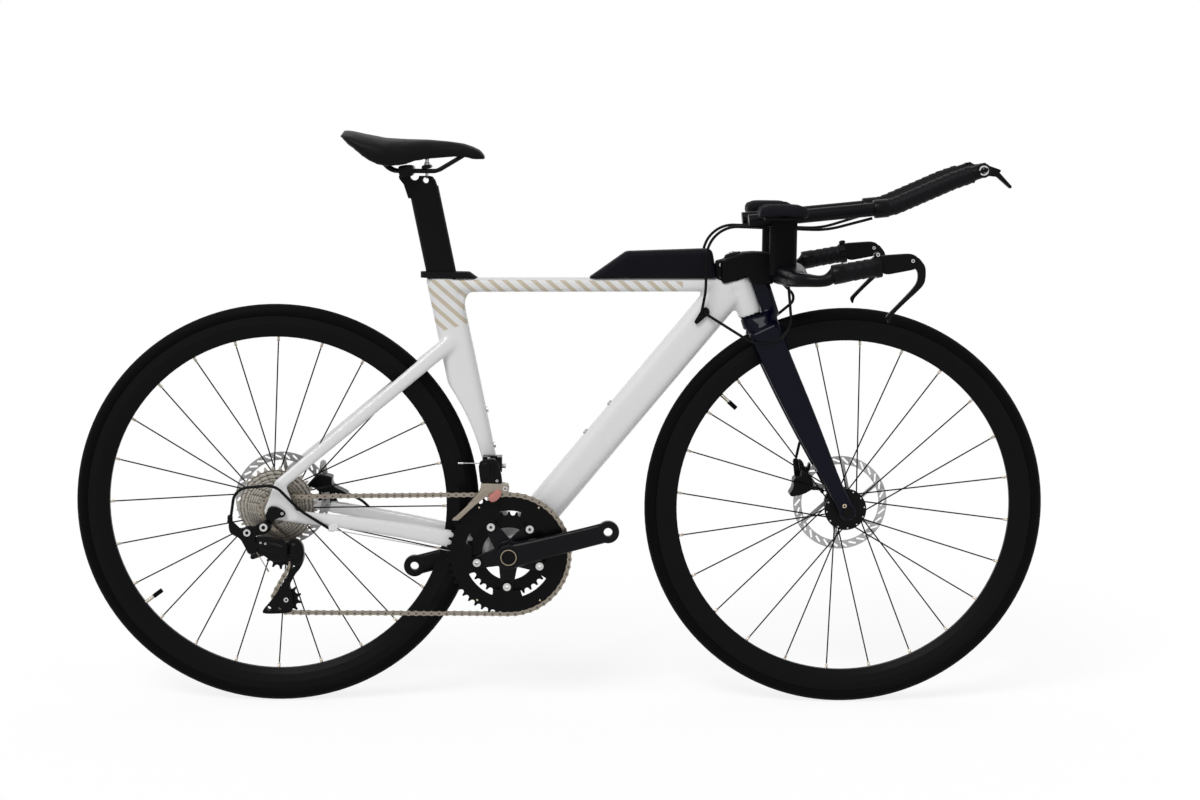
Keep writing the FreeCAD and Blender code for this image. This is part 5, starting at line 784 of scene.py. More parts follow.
class BIKE_OT_finishes(bpy.types.Operator):
    """Makes the materials and puts them on the solids that are shown as they are"""

    bl_idname = "bike.finishes"
    bl_label = "Finishes"

    def execute(self, context):
        make_finishes()
        for name, nodes in SOLID_FINISHES.items():
            for node in nodes:
                painted(NODES[node], name)
        return {"FINISHED"}


class BIKE_OT_shells(bpy.types.Operator):
    """Moulds the frame and the fork into one flowing shell each"""

    bl_idname = "bike.shells"
    bl_label = "Frame and fork shells"

    gap_line = [(309.5, 722), (331, 666), (342, 668), (322, 728)]
    crisp_behind = REAR_HUB.x + 0.06
    crisp_below = FRONT_HUB.z + 0.03

    def execute(self, context):
        voxel = context.scene.bike_form.shell_voxel
        frame_shell = copy_of("frame", "frame_shell")
        melted(frame_shell, voxel, 14, 0.6, lambda p: 0.15 if p.x < self.crisp_behind else 1.0)
        installed(frame_shell, "frame", "frame_paint", "frame_paint", "frame")
        fairing = plate("fork_fairing", self.gap_line, -16, 16, 0)
        fork_shell = joined("fork_shell", [copy_of("fork", "fork_shell"), fairing])
        melted(fork_shell, voxel, 12, 0.6, lambda p: 0.2 if p.z < self.crisp_below else 1.0)
        installed(fork_shell, "steering", "fork_paint", "fork_paint", "fork")
        return {"FINISHED"}


SADDLE_TOP = (
    (-367, 953), (-361, 957), (-349, 956.4), (-325, 951.4), (-293, 945.4), (-260, 943.6), (-222, 943),
    (-189, 940.4), (-166, 937.4), (-147, 932.9), (-135, 926.9), (-128, 919),
)
SADDLE_LOW = (
    (-367, 949), (-363, 946), (-354, 936), (-341, 924.4), (-322, 910.7), (-304, 902.5), (-285, 899.4),
    (-262, 902), (-245, 909.5), (-221, 914.5), (-189, 917.4), (-170, 918.2), (-156, 916), (-148, 912.9),
    (-132, 912.9), (-127, 914),
)


def level_at(line, x):
    """The height of a line of (x, z) points at x."""
    for (x_low, z_low), (x_high, z_high) in zip(line, line[1:]):
        if x <= x_high:
            share = max(x - x_low, 0) / (x_high - x_low)
            return z_low + (z_high - z_low) * share
    return line[-1][1]


class BIKE_OT_saddle(bpy.types.Operator):
    """Pads the saddle, draws it to its side profile and pulls its cover tight"""

    bl_idname = "bike.saddle"
    bl_label = "Saddle"

    slice_width = 4
    thinnest = 0.004

    def execute(self, context):
        saddle = copy_of("saddle", "saddle_padding")
        melted(saddle, context.scene.bike_form.pad_voxel, 8, 0.6)
        self.fit_profile(saddle)
        upholstered(saddle, 5)
        installed(saddle, "seatpost", "leather", "saddle", "saddle")
        return {"FINISHED"}

    def fit_profile(self, saddle):
        """Stretches each slice upright so that its top and bottom meet the profile's lines."""
        reach = {}
        for vertex in saddle.data.vertices:
            key = round(vertex.co.x / MM / self.slice_width)
            low, high = reach.get(key, (vertex.co.z, vertex.co.z))
            reach[key] = (min(low, vertex.co.z), max(high, vertex.co.z))
        centres = sorted(reach)
        lows = [(key * self.slice_width, reach[key][0]) for key in centres]
        highs = [(key * self.slice_width, reach[key][1]) for key in centres]
        for vertex in saddle.data.vertices:
            x = vertex.co.x / MM
            low, high = level_at(lows, x), level_at(highs, x)
            new_low, new_high = level_at(SADDLE_LOW, x) * MM, level_at(SADDLE_TOP, x) * MM
            share = (vertex.co.z - low) / max(high - low, self.thinnest)
            vertex.co.z = new_low + (new_high - new_low) * share


class BIKE_OT_saddle_clamp(bpy.types.Operator):
    """Models what holds the saddle's rails: a cradle behind, a yoke and its stud ahead"""

    bl_idname = "bike.saddle_clamp"
    bl_label = "Saddle clamp"

    cradle = [
        (-272, 899), (-268, 902.5), (-250, 903), (-247, 899), (-246, 892), (-251, 883.5),
        (-269, 883.5), (-271, 890),
    ]
    yoke = [(-234, 896), (-219, 897.5), (-218, 902), (-221, 904), (-233, 903)]

    def execute(self, context):
        halves = [plate("clamp_half", eased(line, 1), -27, 27) for line in (self.cradle, self.yoke)]
        clamp = joined("saddle_clamp_block", halves)
        smooth_shade(clamp, 40)
        installed(clamp, "seatpost", "anodised", "black_alloy", "saddle_clamp")
        stud_shape = [(0, 0), (2.4, 0), (2.7, 0.4), (2.7, 17.6), (2.4, 18), (0, 18)]
        stud = turned("clamp_stud", stud_shape, offset(-226, 0, 881), UP, 18)
        installed(stud, "seatpost", "steel", "silver")
        return {"FINISHED"}


class BIKE_OT_arm_pads(bpy.types.Operator):
    """Swells the two forearm pads"""

    bl_idname = "bike.arm_pads"
    bl_label = "Arm pads"

    def execute(self, context):
        pads = copy_of("arm_pads", "arm_padding")
        melted(pads, context.scene.bike_form.pad_voxel, 6, 0.6)
        upholstered(pads, 3)
        installed(pads, "steering", "foam", "pad", "arm_pads")
        return {"FINISHED"}


GRIP_RUN = (offset(-52, 0, -10), offset(-124, 0, -23.4))
EXTENSION_RUN = (offset(-17, 0, -6), offset(-48, 0, -17), offset(-148, 0, -61.5), offset(-176, 0, -64.4))
GRIP_TAPE_RADIUS = 15.0
EXTENSION_TAPE_RADIUS = 14.3
WRAPPED_PAST = 0.13


class BIKE_OT_bar_wrap(bpy.types.Operator):
    """Winds the wrap round the grips and the extensions, and ends it with smooth tape"""

    bl_idname = "bike.bar_wrap"
    bl_label = "Bar wrap"

    grain = 0.0014
    skin_depth = 1.4
    lap_middle = 0.6

    def execute(self, context):
        form = context.scene.bike_form
        wrap = copy_of("bar_tape", "bar_wrap")
        modify(wrap, "REMESH", mode="VOXEL", voxel_size=self.grain)
        grip = [LEVER_PIVOT + step for step in GRIP_RUN]
        extension = [SHIFT_PIVOT + step for step in EXTENSION_RUN]
        for vertex in wrap.data.vertices:
            side = -1 if vertex.co.y < 0 else 1
            point = Vector((vertex.co.x, -abs(vertex.co.y), vertex.co.z))
            outer = point.y < -WRAPPED_PAST
            radius = GRIP_TAPE_RADIUS if outer else EXTENSION_TAPE_RADIUS
            along, arm = self.measured(point, grip if outer else extension)
            if arm.length < (radius - self.skin_depth) * MM:
                continue
            turn = math.atan2(arm.z, arm.y) / FULL_TURN
            lap = (along / form.wrap_pitch + turn) % 1
            shift = arm.normalized() * form.wrap_step * (lap - self.lap_middle)
            vertex.co += Vector((shift.x, -shift.y * side, shift.z))
        modify(wrap, "SMOOTH", factor=0.4, iterations=1)
        smooth_shade(wrap)
        installed(wrap, "steering", "wrap", "rubber", "bar_tape")
        self.tape_bands(grip, extension)
        return {"FINISHED"}

    def measured(self, point, run):
        """How far along a run of spots a point lies, and its arm out from the run."""
        best = None
        travelled = 0
        for first, last in zip(run, run[1:]):
            length = (last - first).length
            heading = (last - first) / length
            along = min(max((point - first).dot(heading), 0), length)
            arm = point - first - heading * along
            if best is None or arm.length < best[1].length:
                best = (travelled + along, arm)
            travelled += length
        return best

    def tape_bands(self, grip, extension):
        """Smooth tape round the inner end of each wrap."""
        bands = []
        for run, radius, length in ((grip, GRIP_TAPE_RADIUS, 20), (extension, EXTENSION_TAPE_RADIUS, 24)):
            heading = run[-2] - run[-1]
            section = [
                (radius - 2, 0),
                (radius + 0.2, 0.4),
                (radius + 0.7, 2),
                (radius + 0.7, length - 1),
                (radius + 0.2, length),
                (radius - 2, length),
            ]
            band = turned("tape_band", section, run[-1] - heading.normalized() * MM, heading, 36)
            bands += [band, mirrored(band)]
        installed(joined("tape_bands", bands), "steering", "band_tape", "rubber")


class BIKE_OT_hoods(bpy.types.Operator):
    """Moulds the brake hoods and levers, and clamps the hoods to the bar with a band"""

    bl_idname = "bike.hoods"
    bl_label = "Brake hoods and levers"

    hood = [
        (-53, 5), (-51, 7.6), (-28, 9.4), (-6, 11), (2, 10), (9, 4.5), (11.5, -3.5), (9, -12.6),
        (-20, -18.4), (-46, -23.4), (-49, -10),
    ]
    lever = [
        (0, 6), (9.5, 5.8), (16, -2), (20.4, -8), (22, -17), (21.2, -32), (18, -39), (10, -48),
        (-9.5, -66), (-30, -87), (-32.5, -92), (-33.5, -98.5), (-36, -98), (-39.5, -90),
        (-37.6, -86), (-21.4, -69), (-4, -50.5), (3, -42.2), (8, -34.8), (9.8, -26), (8.4, -15.6),
        (0, -9),
    ]
    lug = [(-61, 5), (-60, 12), (-50, 13), (-51, 6)]
    band_length = 10.5
    band_radius = 17.2
    share_behind = 0.72

    def execute(self, context):
        voxel = context.scene.bike_form.small_voxel
        hood = plate("hood_block", eased(self.hood), -208.5, -191.5, 2.2, LEVER_PIVOT)
        hood = moulded("hood_block", [hood], voxel, 4)
        hoods = joined("hood_covers", [hood, mirrored(hood)])
        smooth_shade(hoods)
        installed(hoods, "steering", "hood_rubber", "black_matte", "lever_bodies")
        lever = plate("brake_blade_right", eased(self.lever), -205, -195, 2.4, LEVER_PIVOT)
        lever = moulded("brake_blade_right", [lever], voxel, 4)
        twin = mirrored(lever)
        twin.name = "brake_blade_left"
        smooth_shade(twin)
        installed(lever, "brake_lever_right", "gloss_black", "black_alloy", "brake_lever_right")
        installed(twin, "brake_lever_left", "gloss_black", "black_alloy", "brake_lever_left")
        self.clamp_bands()
        return {"FINISHED"}

    def clamp_bands(self):
        """The bands that hold the hoods, each with a lug for its screw."""
        heading = GRIP_RUN[0] - GRIP_RUN[1]
        length, radius = self.band_length, self.band_radius
        section = [
            (radius - 5, 0),
            (radius - 0.8, 0),
            (radius, 0.8),
            (radius, length - 0.8),
            (radius - 0.8, length),
            (radius - 5, length),
        ]
        start = LEVER_PIVOT + GRIP_RUN[0] - heading.normalized() * (length * self.share_behind * MM)
        band = turned("hood_band", section, start, heading, 36)
        lug = plate("hood_lug", eased(self.lug, 1), -206, -194, 0.8, LEVER_PIVOT)
        bands = [band, lug]
        bands += [mirrored(piece) for piece in bands]
        installed(joined("hood_bands", bands), "steering", "gloss_black", "black_alloy")


class BIKE_OT_stem(bpy.types.Operator):
    """Moulds the stem over the head tube, with its clamp ears behind and a cap on top"""

    bl_idname = "bike.stem"
    bl_label = "Stem"

    body = [
        (262, 749), (270, 754.5), (297, 763.6), (315, 765), (345, 764), (348, 712), (312, 712),
        (307, 724.6), (264, 712.4), (262, 716),
    ]
    ears = [(252, 741), (254, 749), (266, 752), (266, 714), (257, 714), (254, 722)]

    grain = 0.0014

    def execute(self, context):
        block = plate("stem_block", self.body, -24, 24, 3)
        ear = plate("stem_ear", self.ears, -16, -5, 1)
        stem = moulded("stem_body", [block, ear, mirrored(ear)], self.grain, 4)
        installed(stem, "steering", "matte_black", "black_matte", "stem")
        cap_shape = [(0, 0), (14, 0), (14, 2), (12.6, 3.4), (0, 3.8)]
        cap = turned("stem_cap", cap_shape, offset(281, 0, 758), STEER_UP, 36)
        installed(cap, "steering", "anodised", "black_alloy")
        return {"FINISHED"}


class BIKE_OT_cranks(bpy.types.Operator):
    """Softens the forged crank arms"""

    bl_idname = "bike.cranks"
    bl_label = "Crank arms"

    grain = 0.0012

    def execute(self, context):
        for side in ("right", "left"):
            node = "crank_" + side
            arm = copy_of(node, node + "_forging")
            melted(arm, self.grain, 8)
            installed(arm, "crank", "crank_black", "black_alloy", node)
        return {"FINISHED"}


class BIKE_OT_chain_pins(bpy.types.Operator):
    """Rivets the chain's outer links on both faces, in darkened steel as painted shade of the recesses
    round the rollers
    """

    bl_idname = "bike.chain_pins"
    bl_label = "Chain pins"

    outer_width = 0.0047
    face = 0.0025
    rivet = [(0, 0), (1.9, 0), (1.9, 0.5), (1.5, 0.7), (0, 0.4)]

    def execute(self, context):
        links = copy_of("chain", "chain_links")
        alone(links)
        bpy.ops.object.mode_set(mode="EDIT")
        bpy.ops.mesh.select_all(action="SELECT")
        bpy.ops.mesh.separate(type="LOOSE")
        bpy.ops.object.mode_set(mode="OBJECT")
        loose = list(context.selected_objects)
        rivet = turned("rivet", self.rivet, Vector(), LEFT, 8)
        pins = []
        for middle, arm, width in [self.measured(link) for link in loose]:
            if width < self.outer_width:
                continue
            for end in (middle - arm, middle + arm):
                for side in (LEFT, RIGHT):
                    pin = rivet.copy()
                    pin.data = rivet.data.copy()
                    context.scene.collection.objects.link(pin)
                    half = Matrix.Rotation(0 if side == LEFT else math.pi, 4, "Z")
                    pin.data.transform(Matrix.Translation(end + side * self.face) @ half)
                    pins.append(pin)
        bpy.data.objects.remove(rivet)
        for link in loose:
            bpy.data.objects.remove(link)
        # Painted shade: the rivets are darker than the chain's nickel, for the shade in the roller
        # recesses.
        installed(joined("chain_rivets", pins), "frame", "pin_shade_steel", "nickel")
        return {"FINISHED"}

    def measured(self, link):
        """A link's middle, its arm to one pin and its width across."""
        spots = [vertex.co for vertex in link.data.vertices]
        middle = Vector()
        for axis in range(3):
            values = [spot[axis] for spot in spots]
            middle[axis] = (min(values) + max(values)) / 2
        arm = max((spot - middle for spot in spots), key=lambda step: step.x * step.x + step.z * step.z)
        spread = Vector()
        lean = 0
        for spot in spots:
            step = spot - middle
            flat = Vector((step.x, 0, step.z))
            spread += flat if flat.dot(arm) > 0 else -flat
            lean += step.y if flat.dot(arm) > 0 else -step.y
        width = max(spot.y for spot in spots) - min(spot.y for spot in spots)
        along = Vector((spread.x, lean, spread.z)).normalized()
        return middle, along * (CHAIN_PITCH / 2), width


class BIKE_OT_shifters(bpy.types.Operator):
    """Puts a dial and a steel cap on each shifter"""

    bl_idname = "bike.shifters"
    bl_label = "Shifter dials"

    face = 0.008

    def execute(self, context):
        side = SHIFT_PIVOT + RIGHT * self.face
        dial_shape = [(0, 0), (11.6, 0), (11.6, 2.2), (10.6, 3.2), (8.6, 3.2), (8.6, 2), (0, 2)]
        dial = turned("shifter_dial", dial_shape, side, RIGHT, 40)
        cap_shape = [(5.2, 1.6), (8.4, 1.6), (8.4, 3.0), (7.6, 3.8), (6, 3.8), (5.2, 3.0)]
        cap = turned("shifter_cap", cap_shape, side, RIGHT, 32)
        dials = joined("shifter_dials", [dial, mirrored(dial)])
        installed(dials, "steering", "gloss_black", "black_alloy")
        installed(joined("shifter_caps", [cap, mirrored(cap)]), "steering", "steel", "silver")
        return {"FINISHED"}


class BIKE_OT_crank_trim(bpy.types.Operator):
    """Caps the crank's ends, rings the right cap with brass, and pins and fills the outer chainring"""

    bl_idname = "bike.crank_trim"
    bl_label = "Crank trim"

    web_spans = ((-112, -72), (-33, 74), (102, 152), (166, 207))
    web_radii = (62, 78.5)
    pin_turns = (58, 122, -56, -124)
    pin_radius = 93.5
    pin_face = 0.0479
    arm_face = 0.073

    def execute(self, context):
        face = BRACKET + RIGHT * self.arm_face
        ring_shape = [(11.9, 0), (13.4, 0), (13.4, 2.2), (13.0, 2.8), (12.2, 2.8), (11.9, 2.4)]
        ring = turned("crank_ring", ring_shape, face, RIGHT, 48)
        pin_shape = [(0, 0), (1.7, 0), (1.7, 0.5), (1.1, 1.0), (0, 1.1)]
        trim = [ring]
        for degrees in self.pin_turns:
            place = BRACKET + spoke(math.radians(degrees), self.pin_radius) + RIGHT * self.pin_face
            trim.append(turned("ring_pin", pin_shape, place, RIGHT, 10))
        installed(joined("crank_ring_trim", trim), "crank", "brass", "nickel")
        webs = [self.web(*span) for span in self.web_spans]
        installed(joined("ring_webs", webs), "crank", "ring_black", "black_alloy")
        cap_shape = [(0, 0), (12, 0), (12, 2), (10.8, 3.6), (9.5, 3.6), (8.4, 3.2), (0, 3.2)]
        right_cap = turned("crank_cap", cap_shape, face, RIGHT, 40)
        left_cap = turned("crank_far_cap", cap_shape, BRACKET + LEFT * self.arm_face, LEFT, 40)
        installed(joined("crank_caps", [right_cap, left_cap]), "crank", "anodised", "black_alloy")
        return {"FINISHED"}

    def web(self, start, end):
        """A sector of the outer ring's inner web, between two turns in degrees."""
        steps = 10
        turns = [math.radians(start + (end - start) * step / steps) for step in range(steps + 1)]
        inner, outer = self.web_radii
        outline = [(outer * math.cos(turn), outer * math.sin(turn)) for turn in turns]
        outline += [(inner * math.cos(turn), inner * math.sin(turn)) for turn in reversed(turns)]
        return plate("ring_web", outline, -47.7, -46.3, 0.3, BRACKET)


class BIKE_OT_rear_mech(bpy.types.Operator):
    """Covers the rear derailleur: hinge body, fairing over the links, knuckle and cage plates"""

    bl_idname = "bike.rear_mech"
    bl_label = "Rear derailleur"

    hanger = [
        (-9, -13), (-12, -5), (-8, 2), (-2, 9), (7, 9), (19, 2), (22, -3), (18, -9), (9, -9),
        (-1, -18), (-4, -32), (-20, -32), (-20, -18),
    ]
    hinge = [
        (-71, -15), (-64, -15), (-59, -22), (-53, -26), (-46, -25), (-39, -21), (-29, -23),
        (-20, -16), (-11, -13), (-2, -17), (-1, -27), (-8, -34), (-19, -36), (-28, -39), (-27, -46),
        (-23, -58), (-25, -67), (-37, -69), (-44, -58), (-52, -42), (-64, -37), (-70, -31),
    ]
    neck = [(-44, -60), (-40, -70), (-28, -70), (-24, -60), (-30, -44), (-42, -44)]
    fairing = [
        (-3, 24), (4, 27), (20, 28.5), (38, 27), (61, 28), (61, -9), (41, -11), (32, -11), (24, -3),
        (11, 0), (-1, 0), (-5, 10),
    ]
    knuckle = [(-11, 20), (5, 17), (13, 9), (15.5, -7), (12.5, -20), (5, -26), (-5, -24), (-11, -16)]
    cage = [
        (-2, 8), (8, 4), (11, -6), (12, -17), (9.5, -27), (5, -37), (-3, -46), (-9, -57),
        (-14, -67), (-9, -77), (-6, -90), (-8, -107), (-13, -112), (-55, -114), (-59, -109),
        (-50, -99), (-38, -84), (-30, -71), (-21, -57), (-15, -45), (-10, -31), (-12, -16),
        (-10, 2),
    ]
    lobe = [(-6, 6), (4, 2), (4, -14), (-12, -26), (-30, -26), (-38, -16), (-34, -4), (-22, 2)]
    rib = [(2, 18), (20, 20), (44, 18), (57, 14), (52, 4), (30, 6), (8, 11)]
    fairing_lean = -0.3
    fairing_middle = 0.03
    dome_face = 0.035
    holes = ((-47, -104, 3.4), (-29, -104, 3), (-2, -22, 2.6), (-6, -34, 2.4))

    def execute(self, context):
        voxel = context.scene.bike_form.small_voxel
        hanger = plate("hanger_plate", eased(self.hanger), -84.6, -77.4, 0.8, REAR_HUB)
        installed(hanger, "frame", "gloss_black", "black_alloy", "derailleur_hanger")
        self.hinge_body(voxel)
        self.fairing_body(voxel)
        knuckle = plate("cage_knuckle_cover", eased(self.knuckle), -98, -84, 0, CAGE_PIVOT)
        dome_shape = [(0, 0), (11, 0), (10, 2.4), (7, 3.6), (0, 4)]
        dome = turned("knuckle_dome", dome_shape, CAGE_PIVOT + RIGHT * self.dome_face, RIGHT)
        cover = moulded("cage_knuckle_cover", [knuckle, dome], voxel, 6)
        installed(cover, "mech_cage_knuckle", "gloss_black", "black_gloss")
        self.cage_plates()
        self.wire_tail()
        return {"FINISHED"}

    def wire_tail(self):
        """The cable's free end below the link, with its crimped tip."""
        start = REAR_HUB + offset(-26, -91, -64)
        end = REAR_HUB + offset(-7, -91, -96)
        along = end - start
        wire = turned("mech_wire", [(0, 0), (0.7, 0), (0.7, 34), (0, 34)], start, along, 10)
        crimp = [(0, 0), (1.4, 0), (1.5, 1), (1.2, 3), (1.5, 5), (1.3, 7), (0, 7)]
        overlap = along.normalized() * 0.005
        tip = turned("mech_crimp", crimp, end - overlap, along, 12)
        installed(joined("mech_wire_tail", [wire, tip]), "mech_outer_link", "nickel", "silver")

    def hinge_body(self, voxel):
        """The fixed body between the hanger's eye, the cable stop and the first link pins."""
        body = plate("hinge_body", eased(self.hinge), -93, -85, 0, REAR_HUB)
        pieces = [body]
        for x, z, radius in ((-13, -23, 9.5), (-40, -32, 8.6)):
            boss = [(0, 0), (radius, 0), (radius, 12.5), (radius - 1.5, 14), (0, 14)]
            pieces.append(turned("hinge_boss", boss, REAR_HUB + offset(x, -82, z), RIGHT))
        neck = plate("hinge_neck", eased(self.neck), -88, -66, 0, REAR_HUB)
        hinge = moulded("mech_hinge_body", pieces + [neck], voxel, 5)
        installed(hinge, "frame", "gloss_black", "black_gloss", "mech_knuckle")
        stop = [(0, 0), (5, 0), (5, 3), (4, 4), (4.4, 5), (4.4, 10), (3.4, 12), (2.6, 13), (0, 13)]
        barrel = turned("barrel_adjuster", stop, REAR_HUB + offset(-68.5, -88, -17), UP, 20)
        installed(barrel, "frame", "anodised", "black_alloy")

    def fairing_body(self, voxel):
        """The shell on the outer link, leaning out with the link towards the cage."""
        face = plate("fairing", eased(self.fairing), -97, -86, 0, LINK_PIVOT)
        rib = plate("fairing_rib", eased(self.rib), -99.5, -90, 0, LINK_PIVOT)
        for piece in (face, rib):
            for vertex in piece.data.vertices:
                vertex.co.y += (vertex.co.x - LINK_PIVOT.x - self.fairing_middle) * self.fairing_lean
        fairing = moulded("mech_fairing", [face, rib], voxel, 6)
        installed(fairing, "mech_outer_link", "gloss_black", "black_gloss")

    def cage_plates(self):
        """Two slim plates that hold both pulleys."""
        outline = eased(self.cage)
        lobe = eased(self.lobe)
        outer = plate("cage_outer", outline, -69.6, -67, 0.6, CAGE_PIVOT)
        inner = plate("cage_inner", outline, -58, -56.2, 0.5, CAGE_PIVOT)
        lobes = [plate("cage_lobe", lobe, -69.3, -67.3, 0.4, CAGE_PIVOT)]
        lobes.append(plate("cage_far_lobe", lobe, -57.8, -56.4, 0.4, CAGE_PIVOT))
        drills = []
        for x, z, radius in self.holes:
            section = [(0, 0), (radius, 0), (radius, 24), (0, 24)]
            drills.append(turned("drill", section, CAGE_PIVOT + offset(x, 16, z), RIGHT, 20))
        cutter = joined("drills", drills)
        for piece in (outer, inner):
            modify(piece, "BOOLEAN", object=cutter, operation="DIFFERENCE", solver="EXACT")
        bpy.data.objects.remove(cutter)
        axle = [(0, 0), (2.45, 0), (2.45, 13), (0, 13)]
        axle_half = LEFT * 0.0064
        axles = [turned("pulley_axle", axle, spot + axle_half, RIGHT, 16) for spot in (GUIDE, TENSION)]
        cage = joined("mech_cage_plates", [outer, inner] + lobes + axles)
        smooth_shade(cage, 35)
        installed(cage, "mech_cage", "gloss_black", "black_gloss", "mech_cage")


class BIKE_OT_front_mech(bpy.types.Operator):
    """Models the front derailleur's swinging body, its plated cage, the skid and the wire's crimp"""

    bl_idname = "bike.front_mech"
    bl_label = "Front derailleur"

    body = [
        (-23, 3), (-14, 10), (9, 11), (13, -5), (16, -21), (17, -31), (0, -33), (-19, -31),
        (-21, -18),
    ]
    rib = [(-18, 2), (-4, 5), (-2, -8), (-5, -22), (-16, -24), (-18, -8)]
    strap = [(3, 8), (9, 7), (12, -24), (4, -27)]
    cage = [
        (-19, -29), (0, -30), (17, -30), (28, -33), (28, -45), (17, -46), (6, -44), (-6, -49),
        (-22, -61), (-42, -79), (-55, -92), (-67, -92), (-49, -75), (-31, -57), (-19, -42),
    ]
    inner = cage[:9] + [(-36, -73), (-44, -72)] + cage[-2:]
    fold = [(-16, -37), (6, -38), (22, -36), (24, -41), (6, -43), (-14, -47), (-32, -62), (-34, -59)]
    arm = [(-9, 9), (9, 9), (11, -20), (11, -44), (-11, -46), (-11, -20)]
    bridge = [(8, -30), (27, -32), (27, -35), (8, -33)]
    tail = [(-66, -92), (-54, -92), (-56, -88), (-62, -87)]
    skid = [(-6, -50), (3, -43), (10, -38), (16, -42), (14, -52), (5, -60), (-4, -60)]

    def execute(self, context):
        voxel = context.scene.bike_form.small_voxel
        layers = ((self.body, -55, -41), (self.rib, -57, -46), (self.strap, -57.4, -46))
        pieces = []
        for line, near, far in layers:
            pieces.append(plate("swing_layer", eased(line, 1), near, far, 0, FRONT_MECH))
        body = moulded("front_mech_swing_body", pieces, voxel, 3)
        installed(body, "front_mech_cage", "gloss_black", "black_gloss")
        outer = plate("cage_outer", eased(self.cage), -58, -56, 0.6, FRONT_MECH)
        fold = plate("cage_fold", eased(self.fold), -59, -57, 0.8, FRONT_MECH)
        inner = plate("cage_inner", eased(self.inner), -37, -35, 0.6, FRONT_MECH)
        arm = plate("cage_arm", eased(self.arm, 1), -41, -34, 0.8, FRONT_MECH)
        bridge = plate("cage_bridge", self.bridge, -57, -36, 0.5, FRONT_MECH)
        tail = plate("cage_tail", self.tail, -57, -47, 0.5, FRONT_MECH)
        cage = joined("front_mech_guide", [outer, fold, inner, arm, bridge, tail])
        smooth_shade(cage, 35)
        installed(cage, "front_mech_cage", "nickel", "silver", "front_mech_cage")
        skid = plate("front_mech_skid", eased(self.skid, 1), -61, -58, 0.8, FRONT_MECH)
        installed(skid, "front_mech_cage", "skid_pink", "black_gloss")
        crimp = [(0, 0), (1.5, 0), (1.7, 1), (1.3, 3), (1.7, 5), (1.5, 9), (0, 9)]
        ferrule = turned("front_mech_crimp", crimp, REAR_HUB + offset(302, -32, 75), AHEAD, 14)
        installed(ferrule, "frame", "steel", "silver")
        return {"FINISHED"}


class BIKE_OT_spoke_heads(bpy.types.Operator):
    """Sets the spokes' heads in the front hub's right flange"""

    bl_idname = "bike.spoke_heads"
    bl_label = "Spoke heads"

    count = 12
    ring_radius = 31.5
    flange_face = 33.2

    def execute(self, context):
        shape = [(0, 0), (1.5, 0), (1.5, 0.5), (0.9, 1.1), (0, 1.2)]
        heads = []
        for index in range(self.count):
            turn = FULL_TURN * (index + 0.25) / self.count
            place = FRONT_HUB + spoke(turn, self.ring_radius) + RIGHT * (self.flange_face * MM)
            heads.append(turned("spoke_head", shape, place, RIGHT, 8))
        installed(joined("spoke_heads", heads), "front_wheel", "steel", "silver")
        return {"FINISHED"}


class BIKE_OT_wheels(bpy.types.Operator):
    """Fills out the spokes, and turns the front tyre and spokes to the valve's place behind the fork"""

    bl_idname = "bike.wheels"
    bl_label = "Tyre and spokes"

    front_turn = math.radians(58)
    spoke_growth = 0.00022

    def execute(self, context):
        tyre = copy_of("front_tyre", "front_tyre_casing")
        self.turn_front(tyre)
        smooth_shade(tyre, 40)
        installed(tyre, "front_wheel", "front_rubber", "tyre", "front_tyre")
        for end in ("front", "rear"):
            spokes = copy_of(end + "_spokes", end + "_spoke_set")
            modify(spokes, "DISPLACE", strength=self.spoke_growth, mid_level=0)
            if end == "front":
                self.turn_front(spokes)
            smooth_shade(spokes, 40)
            installed(spokes, end + "_wheel", end + "_spoke", "black_alloy", end + "_spokes")
        return {"FINISHED"}

    def turn_front(self, piece):
        """Turns a piece of the front wheel about its axle."""
        about_hub = Matrix.Translation(FRONT_HUB) @ Matrix.Rotation(self.front_turn, 4, LEFT)
        piece.data.transform(about_hub @ Matrix.Translation(-FRONT_HUB))


class BIKE_OT_cable_stop(bpy.types.Operator):
    """Models the painted stop under the chain stay, where the housing ends and the bare wire runs on"""

    bl_idname = "bike.cable_stop"
    bl_label = "Cable stop"

    web = [(-4, 3), (2, 9), (16, 8), (12, 0), (8, -4), (-2, -3)]
    grain = 0.0007

    def execute(self, context):
        end = REAR_HUB + HOUSING_END
        run = offset(266, 42, -66)
        barrel_shape = [(0, 0), (3.6, 0), (4, 0.6), (4, 7), (3, 9.5), (0, 9.5)]
        barrel = turned("stop_barrel", barrel_shape, end - run.normalized() * (2 * MM), run, 20)
        web = plate("stop_web", eased(self.web), -2.6, 2.6, 0.6)
        web.data.transform(Matrix.Translation(end))
        stop = moulded("cable_stop", [barrel, web], self.grain, 3)
        installed(stop, "frame", "frame_paint", "frame_paint")
        return {"FINISHED"}


class BIKE_OT_cockpit_cables(bpy.types.Operator):
    """Moulds the housings between the bars and the frame's ports into smooth tubes"""

    bl_idname = "bike.cockpit_cables"
    bl_label = "Cockpit cables"

    port = offset(282, 0, 705)
    bars = offset(332, 0, 725)
    grain = 0.0008

    def execute(self, context):
        housings = copy_of("control_cables", "control_housings")
        melted(housings, self.grain, 2)
        painted(housings, "housing")
        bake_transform(housings)
        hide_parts("control_cables")
        return {"FINISHED"}


